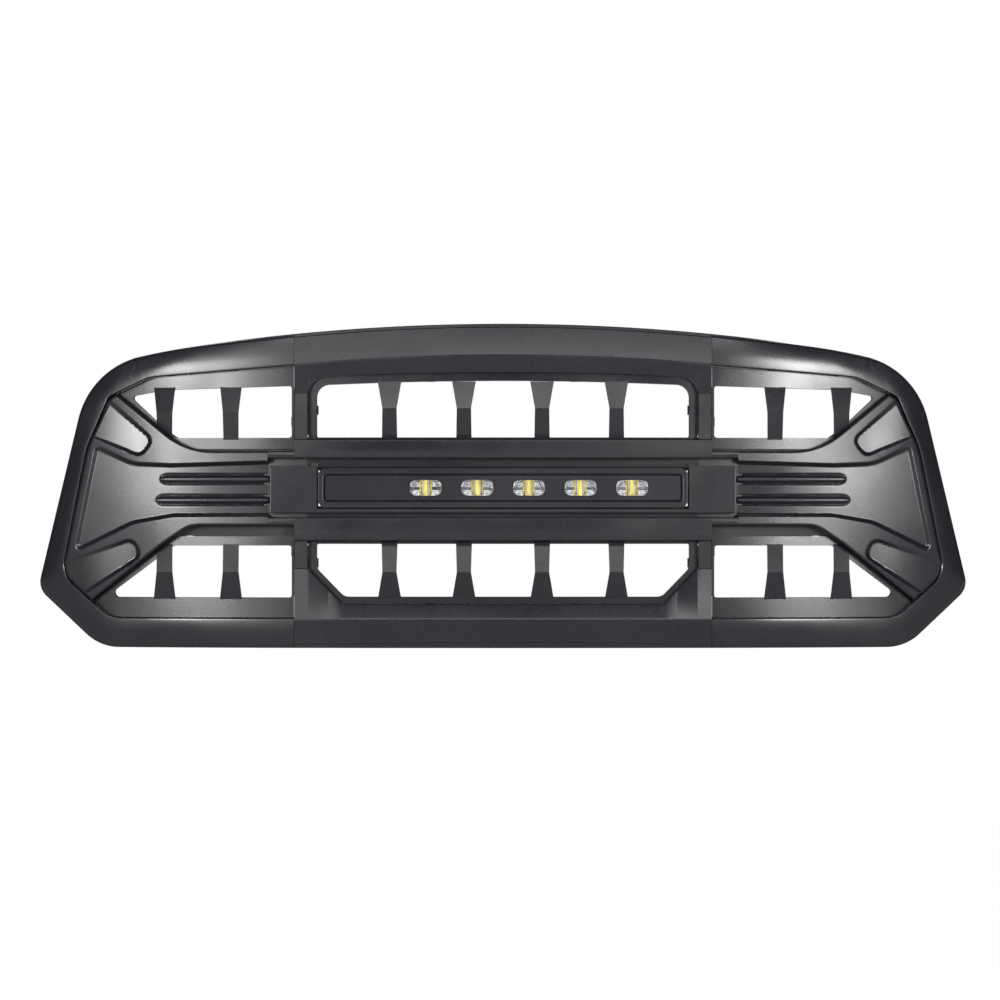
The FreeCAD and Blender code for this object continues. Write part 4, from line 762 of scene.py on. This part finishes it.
    def wing_level(self, grid: np.ndarray) -> np.ndarray:
        """Level of the wing's front over its grid.

        The face is eased at its edges; the flare sinks by its depth at the window and rises to
        nothing at its crease; the ribs win back part of that; the tongues sink towards their tips.
        """
        edge = np.minimum(np.minimum(distance_to(grid, self.top_side(), False),
                                     distance_to(grid, self.bottom_side(), False)),
                          distance_to(grid, self.rim_side(), False))
        level = self.front + self.edge_drop * (1.0 - np.clip(edge / self.edge_width, 0, 1)) ** 2
        level = level - (self.crown * smooth_step((grid[..., 0] - self.window_x) / 150.0)
                         * (1.0 - (grid[..., 1] / 140.0) ** 2))
        within = distance_to(grid, self.flare(), True)
        crease_x = self.half_width - 60.0 - 0.2 * (grid[..., 1] - 48.0)
        fall = 1.0 - np.clip((grid[..., 0] - self.window_x) / (crease_x - self.window_x), 0.0, 1.0)
        depth = self.flare_depth * fall ** 0.8 + self.flare_step
        sunk = depth * smooth_step((within + self.flare_edge) / self.flare_edge)
        proud = self.rib_height(grid) * self.rib_proud
        level = level + sunk - proud
        for upper, inset in zip((True, False), self.pocket_starts):
            within = distance_to(grid, self.pocket(upper), True)
            start = self.half_width - inset
            share = np.clip((grid[..., 0] - start) / (inset - self.pocket_end), 0.0, 1.0)
            depth = self.pocket_depth * (1 - share) ** 1.6 + self.pocket_step
            level = level + depth * smooth_step((within + self.pocket_lead) / self.pocket_edge)
        return level

    def shell(self, name: str, grid: np.ndarray, level: np.ndarray) -> bpy.types.Object:
        """A closed thin shell: the front grid, the same grid moved back by the wall, and its rims.

        Args:
            name: the piece's name.
            grid: x and z of the front.
            level: level of the front.

        Returns:
            The object, with its faces outwards.
        """
        rows, columns = level.shape
        front = at_level(grid[..., 0], grid[..., 1], level).reshape(-1, 3)
        behind = at_level(grid[..., 0], grid[..., 1], level + self.wall).reshape(-1, 3)
        quads = grid_faces(rows, columns, False)
        count = rows * columns
        number = np.arange(count).reshape(rows, columns)
        border = np.concatenate([number[0], number[1:, -1], number[-1, -2::-1], number[-2:0:-1, 0]])
        after = np.roll(border, -1)
        rim = np.stack([border, border + count, after + count, after], axis=-1)
        faces = np.concatenate([quads, quads[:, ::-1] + count, rim])
        points = np.concatenate([front, behind])
        corners = points[quads[0]]
        facing = np.cross(corners[2] - corners[0], corners[3] - corners[1])[1]
        if facing > 0:
            faces = faces[:, ::-1]
        return new_piece(name, points, faces.tolist(), 38.0)

    def channel(self, x: np.ndarray, low: float, high: float) -> np.ndarray:
        """The loop of a crossbar: a crowned face with eased edges, and two walls behind it."""
        middle = (low + high) / 2
        loop = [(low, self.back), (low, self.front + 2.4), (low + 0.4, self.front + 1.2),
                (low + 1.4, self.front + 0.3), (low + 3.0, self.front), (middle, self.front - 0.5),
                (high - 3.0, self.front), (high - 1.4, self.front + 0.3), (high - 0.4, self.front + 1.2),
                (high, self.front + 2.4), (high, self.back), (high - self.wall, self.back),
                (high - self.wall, self.front + self.wall), (low + self.wall, self.front + self.wall),
                (low + self.wall, self.back)]
        return np.stack([at_level(x, np.full_like(x, z), level) for z, level in loop])

    def edge_wall(self, curve: np.ndarray) -> np.ndarray:
        """The loop of a wall that runs back from an edge, the wall's thickness inside it."""
        inside = curve - away_from_wing(curve) * self.wall
        front = self.front + self.wall_recess
        return np.stack([at_level(spot[:, 0], spot[:, 1], level)
                         for spot, level in ((curve, front), (curve, self.back),
                                             (inside, self.back), (inside, front))])

    def build(self, paint: Paint) -> None:
        """Makes both crossbars, and for each end the arms' stubs, the wing and its walls.

        Args:
            paint: the finishes.
        """
        x = np.linspace(-self.seam_x, self.seam_x, 60)
        for word, low, high in (("upper", self.upper_low, self.upper_top),
                                ("lower", self.lower_low, self.lower_top)):
            bar = tube(f"{word}_crossbar_face", self.channel(x, low, high))
            paint.mount(bar, "black_moulding", stands_for="crossbar_fascia")
        grid = self.wing_grid()
        level = self.wing_level(grid)
        stub_x = np.linspace(self.seam_x, self.window_x, 8)
        for sign, side in ((-1.0, "left"), (1.0, "right")):
            turned = grid * np.array([sign, 1.0])
            wing = self.shell(f"wing_{side}", turned, level)
            paint.mount(wing, "black_moulding", stands_for="crossbar_fascia")
            for word, low, high in (("upper", self.upper_low, self.wing_top),
                                    ("lower", self.wing_low, self.lower_top)):
                rows = on_side(self.channel(stub_x, low, high), sign)
                arm = tube(f"{word}_arm_{side}", rows)
                paint.mount(arm, "black_moulding", stands_for="crossbar_fascia")
            for word, curve in (("upper_edge", self.top_side()), ("lower_edge", self.bottom_side()),
                                ("rim_edge", self.rim_side())):
                rows = on_side(self.edge_wall(curve), sign)
                wall = tube(f"wing_wall_{word}_{side}", rows)
                paint.mount(wall, "black_moulding", stands_for="crossbar_fascia")


# ---- light panel ---------------------------------------------------------------------------------
@dataclass
class PanelFace:
    """The plate round the light bar, and the flange that laps behind it, in millimetres."""

    end_x: float = 304.6
    low: float = -34.7
    high: float = 26.8
    hole_x: float = 243.0
    hole_low: float = -29.4
    hole_high: float = 25.7
    front: float = -46.8
    base: float = -38.0
    lip: float = 1.0
    thin_lip: float = 0.3
    flange_y: float = -34.2
    flange_x: float = 255.6
    flange_level: float = -44.6
    flange_thick: float = 2.0
    flange_low: float = -46.0
    flange_high: float = 42.0
    slot_low: float = -25.6
    slot_high: float = 20.7

    def build(self, paint: Paint) -> None:
        """Makes the plate's two ends and two long strips, and the flange's four strips.

        Args:
            paint: the finishes.
        """
        long_x = np.linspace(-self.hole_x, self.hole_x, 50)
        for word, low, high, lip in (("upper", self.hole_high, self.high, self.thin_lip),
                                     ("lower", self.low, self.hole_low, self.lip)):
            strip = tube(f"panel_strip_{word}", self.plate(long_x, low, high, lip))
            paint.mount(strip, "black_panel", stands_for="light_panel")
        for low, high, word in ((self.slot_high, self.flange_high, "upper"),
                                (self.flange_low, self.slot_low, "lower")):
            x = np.linspace(-self.flange_x, self.flange_x, 30)
            rows = [np.stack([x, np.full_like(x, self.flange_y + back), np.full_like(x, z)], axis=-1)
                    for z, back in ((low, 0.0), (low, self.flange_thick),
                                    (high, self.flange_thick), (high, 0.0))]
            paint.mount(tube(f"panel_flange_{word}", np.stack(rows)), "black_panel")
        for sign, side in ((-1.0, "left"), (1.0, "right")):
            x = sign * np.concatenate([np.linspace(self.hole_x, self.end_x - 2.0, 20), [self.end_x - 1.2],
                                       [self.end_x - 0.6, self.end_x - 0.2, self.end_x]])
            end = tube(f"panel_end_{side}", self.plate(x, self.low, self.high, self.lip))
            paint.mount(end, "black_panel", stands_for="light_panel")
            x = sign * np.linspace(self.flange_x, self.end_x + 8.0, 14)
            rows = [at_level(x, np.full_like(x, z), self.flange_level + back)
                    for z, back in ((self.flange_low, 0.0), (self.flange_low, self.flange_thick),
                                    (self.flange_high, self.flange_thick), (self.flange_high, 0.0))]
            paint.mount(tube(f"panel_flange_{side}", np.stack(rows)), "black_panel")

    def plate(self, x: np.ndarray, low: float, high: float, lip: float) -> np.ndarray:
        """The loop of a flat strip of the plate; its lips and the plate's ends are eased.

        Args:
            x: stations across.
            low: lower edge.
            high: upper edge.
            lip: width of the eased lip.

        Returns:
            Rows for tube().
        """
        ease = np.interp(np.abs(x), [self.end_x - 1.2, self.end_x - 0.4, self.end_x], [0.0, 0.4, 1.4])
        loop = [(low, self.base, 0), (low, self.front + lip, 1), (low + lip * 0.4, self.front + lip * 0.3, 1),
                (low + lip, self.front, 1), (low + lip * 1.5, self.front, 1),
                (high - lip * 1.5, self.front, 1), (high - lip, self.front, 1),
                (high - lip * 0.4, self.front + lip * 0.3, 1), (high, self.front + lip, 1),
                (high, self.base, 0)]
        return np.stack([np.stack([x, y + ease * share, np.full_like(x, z)], axis=-1)
                         for z, y, share in loop])


@dataclass
class ShadeSheets:
    """Painted shade: dark strips put behind the gaps between one moulding and the next, so that the gaps read
    as shade, in millimetres.
    """

    level: float = -43.4
    thick: float = 2.0
    inside: float = 7.0
    post_inner: float = 264.0
    post_outer: float = 275.3
    stub_end: float = 312.0
    slit_inner: float = 241.0
    slit_outer: float = 250.0
    slit_low: float = -32.0
    slit_high: float = 30.0
    slit_front: float = -39.0
    slit_back: float = -37.6

    def build(self, paint: Paint, fascia: Fascia) -> None:
        """Makes the painted-shade strips: along each edge of both wings, behind each post, and across the
        centre, the arms' stubs and the slits.

        Args:
            paint: the finishes.
            fascia: gives the wings' edges.
        """
        # Every strip made here is painted shade: a black sheet in the rubber finish, put where the grille
        # shows only shade, not a rubber part.
        x = np.linspace(-self.post_inner, self.post_inner, 40)
        for word, low, high in (("upper", 52.0, 63.6), ("lower", -74.6, -60.0)):
            paint.mount(tube(f"shade_sheet_centre_{word}", self.sheet(x, low, high)), "rubber")
        for sign, side in ((-1.0, "left"), (1.0, "right")):
            for word, curve, reach in (("upper", fascia.top_side(), ([400.0, 430.0], [5.5, 5.5])),
                                       ("lower", fascia.bottom_side(), ([398.0, 425.0], [17.0, 6.5])),
                                       ("rim", fascia.rim_side(), ([400.0, 430.0], [3.0, 3.0]))):
                rows = on_side(self.beside(curve, np.interp(curve[:, 0], *reach)), sign)
                paint.mount(tube(f"shade_sheet_{word}_{side}", rows), "rubber")
            for word, low, high in (("upper", 40.0, 52.0), ("lower", -68.2, -44.0)):
                x = sign * np.linspace(self.post_inner, self.stub_end, 8)
                paint.mount(tube(f"shade_sheet_stub_{word}_{side}", self.sheet(x, low, high)), "rubber")
            x = sign * np.linspace(self.slit_inner, self.slit_outer, 4)
            rows = [np.stack([x, np.full_like(x, y), np.full_like(x, z)], axis=-1)
                    for z, y in ((self.slit_low, self.slit_front), (self.slit_low, self.slit_back),
                                 (self.slit_high, self.slit_back), (self.slit_high, self.slit_front))]
            paint.mount(tube(f"shade_sheet_slit_{side}", np.stack(rows)), "rubber")
            z = np.linspace(-118.0, 118.0, 12)
            rows = [at_level(np.full_like(z, sign * x), z, self.level + back)
                    for x, back in ((self.post_inner, 0.0), (self.post_inner, self.thick),
                                    (self.post_outer, self.thick), (self.post_outer, 0.0))]
            paint.mount(tube(f"shade_sheet_post_{side}", np.stack(rows)), "rubber")

    def sheet(self, x: np.ndarray, low: float, high: float) -> np.ndarray:
        """The loop of a level strip between two heights."""
        return np.stack([at_level(x, np.full_like(x, z), self.level + back)
                         for z, back in ((low, 0.0), (low, self.thick), (high, self.thick), (high, 0.0))])

    def beside(self, curve: np.ndarray, outside: np.ndarray) -> np.ndarray:
        """The loop of a strip from inside a wing's edge to outside it.

        Args:
            curve: the edge, an array of x, z.
            outside: how far the strip reaches past the edge at each point.

        Returns:
            Rows for tube().
        """
        away = away_from_wing(curve)
        near = curve - away * self.inside
        far = curve + away * outside[:, None]
        return np.stack([at_level(spot[:, 0], spot[:, 1], self.level + back)
                         for spot, back in ((near, 0.0), (near, self.thick), (far, self.thick), (far, 0.0))])


# ---- parts taken over from the frame -------------------------------------------------------------
@dataclass
class FrameParts:
    """Finishes and edge rounding for the parts that keep their own shape."""

    weld: float = 0.00002
    bevel: dict = field(default_factory=lambda: {
        "insert_": 0.8, "light_bezel": 0.7, "surround_": 0.8, "light_face_plate": 0.4,
        "light_housing": 0.8, "end_cap": 0.4, "light_bracket": 0.4,
        "side_bracket_left": 0.5, "side_bracket_right": 0.5})
    segments: int = 2
    edge_angle: float = 32.0
    insert_edge_angle: float = 11.0
    normal_weight: int = 90

    def dress(self, paint: Paint) -> None:
        """Gives every part its finish, and rounds the edges of the larger ones.

        Args:
            paint: the finishes.
        """
        slots = {row["node"]: row["material_slot"] for row in frame["record"]["subparts"]}
        for name, part in frame["nodes"].items():
            paint.put_on(part, slots[name])
            width = next((size for start, size in self.bevel.items() if name.startswith(start)), 0.0)
            if width > 0:
                self.round_edges(part, width)
            log.info("%s: %s, edges %.1f mm", name, slots[name], width)

    def round_edges(self, part: bpy.types.Object, width: float) -> None:
        """A weld, a bevel and weighted normals as live modifiers.

        Args:
            part: the frame's object.
            width: the bevel's width in millimetres.
        """
        weld = part.modifiers.new("weld", "WELD")
        weld.merge_threshold = self.weld
        bevel = part.modifiers.new("edges", "BEVEL")
        bevel.width = width * MM
        bevel.segments = self.segments
        bevel.limit_method = "ANGLE"
        finned = part.name.startswith("insert_")
        bevel.angle_limit = math.radians(self.insert_edge_angle if finned else self.edge_angle)
        bevel.use_clamp_overlap = True
        normals = part.modifiers.new("normals", "WEIGHTED_NORMAL")
        normals.mode = "FACE_AREA_WITH_ANGLE"
        normals.weight = self.normal_weight


# ---- lamp details --------------------------------------------------------------------------------
@dataclass
class LampDetails:
    """What shows behind each lens: a bright bowl divided by a yellow LED strip."""

    strip_width: float = 5.0
    strip_height: float = 15.0

    def build(self, paint: Paint) -> None:
        """Makes the LED strip of each lens.

        Args:
            paint: the finishes.
        """
        for number in range(1, 6):
            low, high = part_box(f"reflector_{number}")
            centre = (low + high) / 2
            z = np.linspace(-1, 1, 9)
            half = self.strip_width / 2 * np.sqrt(1.0 - 0.35 * z ** 4)
            back = high.y / MM - 1.0
            loop = [(-1.0, back), (-0.8, back - 2.2), (0.8, back - 2.2), (1.0, back)]
            rows = np.stack([np.stack([centre.x / MM + half * side, np.full_like(z, y),
                                       centre.z / MM + z * self.strip_height / 2], axis=-1)
                             for side, y in loop])
            strip = tube(f"led_strip_{number}", rows)
            paint.mount(strip, "led", "light_bar")


@dataclass
class BezelFacets:
    """A sloping facet at each end of the bezel's recess, in millimetres."""

    inner_x: float = 195.0
    outer_x: float = 231.2
    low: float = -17.2
    high: float = 13.5
    plate_y: float = -45.5
    crest_y: float = -48.8

    def build(self, paint: Paint) -> None:
        """Makes both facets, which ride on the light bar.

        Args:
            paint: the finishes.
        """
        for sign, side in ((-1.0, "left"), (1.0, "right")):
            x = np.linspace(self.inner_x, self.outer_x, 12)
            front = np.linspace(self.plate_y - 0.1, self.crest_y, 12)
            back = np.full_like(x, self.plate_y + 0.1)
            loop = [(self.low, back), (self.low, front), (self.high, front), (self.high, back)]
            rows = np.stack([np.stack([sign * x, y, np.full_like(x, z)], axis=-1) for z, y in loop])
            paint.mount(tube(f"bezel_facet_{side}", rows), "bar_trim", "light_bar")


# ---- studio --------------------------------------------------------------------------------------
@dataclass
class Studio:
    """White floor and backdrop, soft lamps, and the camera straight in front."""

    camera_distance: float = 8.0
    plane_width: float = 1.309
    camera_x: float = -0.0039
    camera_z: float = -0.0177
    white_share: float = 0.93
    glossy_share: float = 0.3
    white_strength: float = 1.07
    ambient: float = 0.06
    floor_reach: float = 9000.0
    side_lamp: tuple = (1.95, -2.9, 0.40)
    side_aim: float = 0.42
    side_size: tuple = (0.9, 0.9)
    side_watts: float = 95.0
    top_lamp: tuple = (0.0, -2.9, 1.55)
    top_size: tuple = (2.6, 0.5)
    top_watts: float = 27.0

    def white(self) -> bpy.types.Material:
        """A white that the camera sees at full strength, and that takes the part's shadow."""
        material = bpy.data.materials.new("studio_white")
        material.use_nodes = True
        tree = material.node_tree
        shader = tree.nodes["Principled BSDF"]
        set_inputs(shader, {"Base Color": (0.9, 0.9, 0.9, 1), "Roughness": 0.9,
                            "Specular IOR Level": 0.0})
        glow = tree.nodes.new("ShaderNodeEmission")
        set_inputs(glow, {"Strength": self.white_strength})
        paths = tree.nodes.new("ShaderNodeLightPath")
        shiny = add_node(tree, "ShaderNodeMath", {0: paths.outputs["Is Glossy Ray"]}, operation="MULTIPLY")
        set_inputs(shiny, {1: self.glossy_share})
        seen = add_node(tree, "ShaderNodeMath", {0: paths.outputs["Is Camera Ray"],
                                                 1: shiny.outputs[0]}, operation="MAXIMUM")
        seen = add_node(tree, "ShaderNodeMath", {0: seen.outputs[0],
                                                 1: paths.outputs["Is Transmission Ray"]},
                        operation="MAXIMUM")
        share = add_node(tree, "ShaderNodeMath", {0: seen.outputs[0]}, operation="MULTIPLY")
        set_inputs(share, {1: self.white_share})
        mix = tree.nodes.new("ShaderNodeMixShader")
        tree.links.new(share.outputs[0], mix.inputs[0])
        tree.links.new(shader.outputs[0], mix.inputs[1])
        tree.links.new(glow.outputs[0], mix.inputs[2])
        tree.links.new(mix.outputs[0], tree.nodes["Material Output"].inputs["Surface"])
        return material

    def lamp(self, name: str, place: tuple, aim: tuple, size: tuple, power: float) -> None:
        """A soft rectangular lamp.

        Args:
            name: the lamp's name.
            place: where it stands.
            aim: the point that it faces.
            size: width and height.
            power: watts.
        """
        data = bpy.data.lights.new(name, "AREA")
        data.shape = "RECTANGLE"
        data.size, data.size_y = size
        data.energy = power
        lamp = bpy.data.objects.new(name, data)
        lamp.location = place
        direction = Vector(aim) - Vector(place)
        lamp.rotation_euler = direction.to_track_quat("-Z", "Y").to_euler()
        bpy.context.scene.collection.objects.link(lamp)

    def build(self) -> None:
        """Makes the floor, the world, the lamps and the camera."""
        scene = bpy.context.scene
        scene.view_settings.view_transform = "Standard"
        low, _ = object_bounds()
        ground = low.z / MM - 1.0
        reach = self.floor_reach
        corners = np.array([(-reach, -reach, ground), (reach, -reach, ground),
                            (reach, reach, ground), (-reach, reach, ground)])
        floor = new_piece("floor", corners, [(0, 1, 2, 3)])
        floor.data.materials.append(self.white())
        floor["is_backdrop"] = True
        world = bpy.data.worlds.new("studio")
        scene.world = world
        world.use_nodes = True
        tree = world.node_tree
        sky = tree.nodes["Background"]
        set_inputs(sky, {"Color": (1, 1, 1, 1)})
        paths = tree.nodes.new("ShaderNodeLightPath")
        level = add_node(tree, "ShaderNodeMapRange", {"Value": paths.outputs["Is Camera Ray"]})
        set_inputs(level, {"To Min": self.ambient, "To Max": 1.0})
        tree.links.new(level.outputs["Result"], sky.inputs["Strength"])
        across, nearer, up = self.side_lamp
        for sign, side in ((-1.0, "left"), (1.0, "right")):
            self.lamp(f"{side}_softbox", (sign * across, nearer, up), (sign * self.side_aim, 0, 0),
                      self.side_size, self.side_watts)
        self.lamp("top_softbox", self.top_lamp, (0, 0, 0), self.top_size, self.top_watts)
        data = bpy.data.cameras.new("front")
        data.sensor_width = 36.0
        data.lens = 36.0 * self.camera_distance / self.plane_width
        camera = bpy.data.objects.new("front", data)
        camera.location = (self.camera_x, -self.camera_distance - 0.02, self.camera_z)
        camera.rotation_euler = (math.pi / 2, 0.0, 0.0)
        scene.collection.objects.link(camera)
        scene.camera = camera


# ---- everything in order -------------------------------------------------------------------------
def main() -> None:
    """Builds the finishes, the skins, the details and the studio."""
    paint = Paint()
    paint.mix()
    FrameParts().dress(paint)
    SurroundSkins().build(paint)
    fascia = Fascia()
    fascia.build(paint)
    PanelFace().build(paint)
    # painted shade: dark sheets behind the gaps between mouldings
    ShadeSheets().build(paint, fascia)
    LampDetails().build(paint)
    BezelFacets().build(paint)
    Studio().build()


if __name__ == "__main__":
    main()
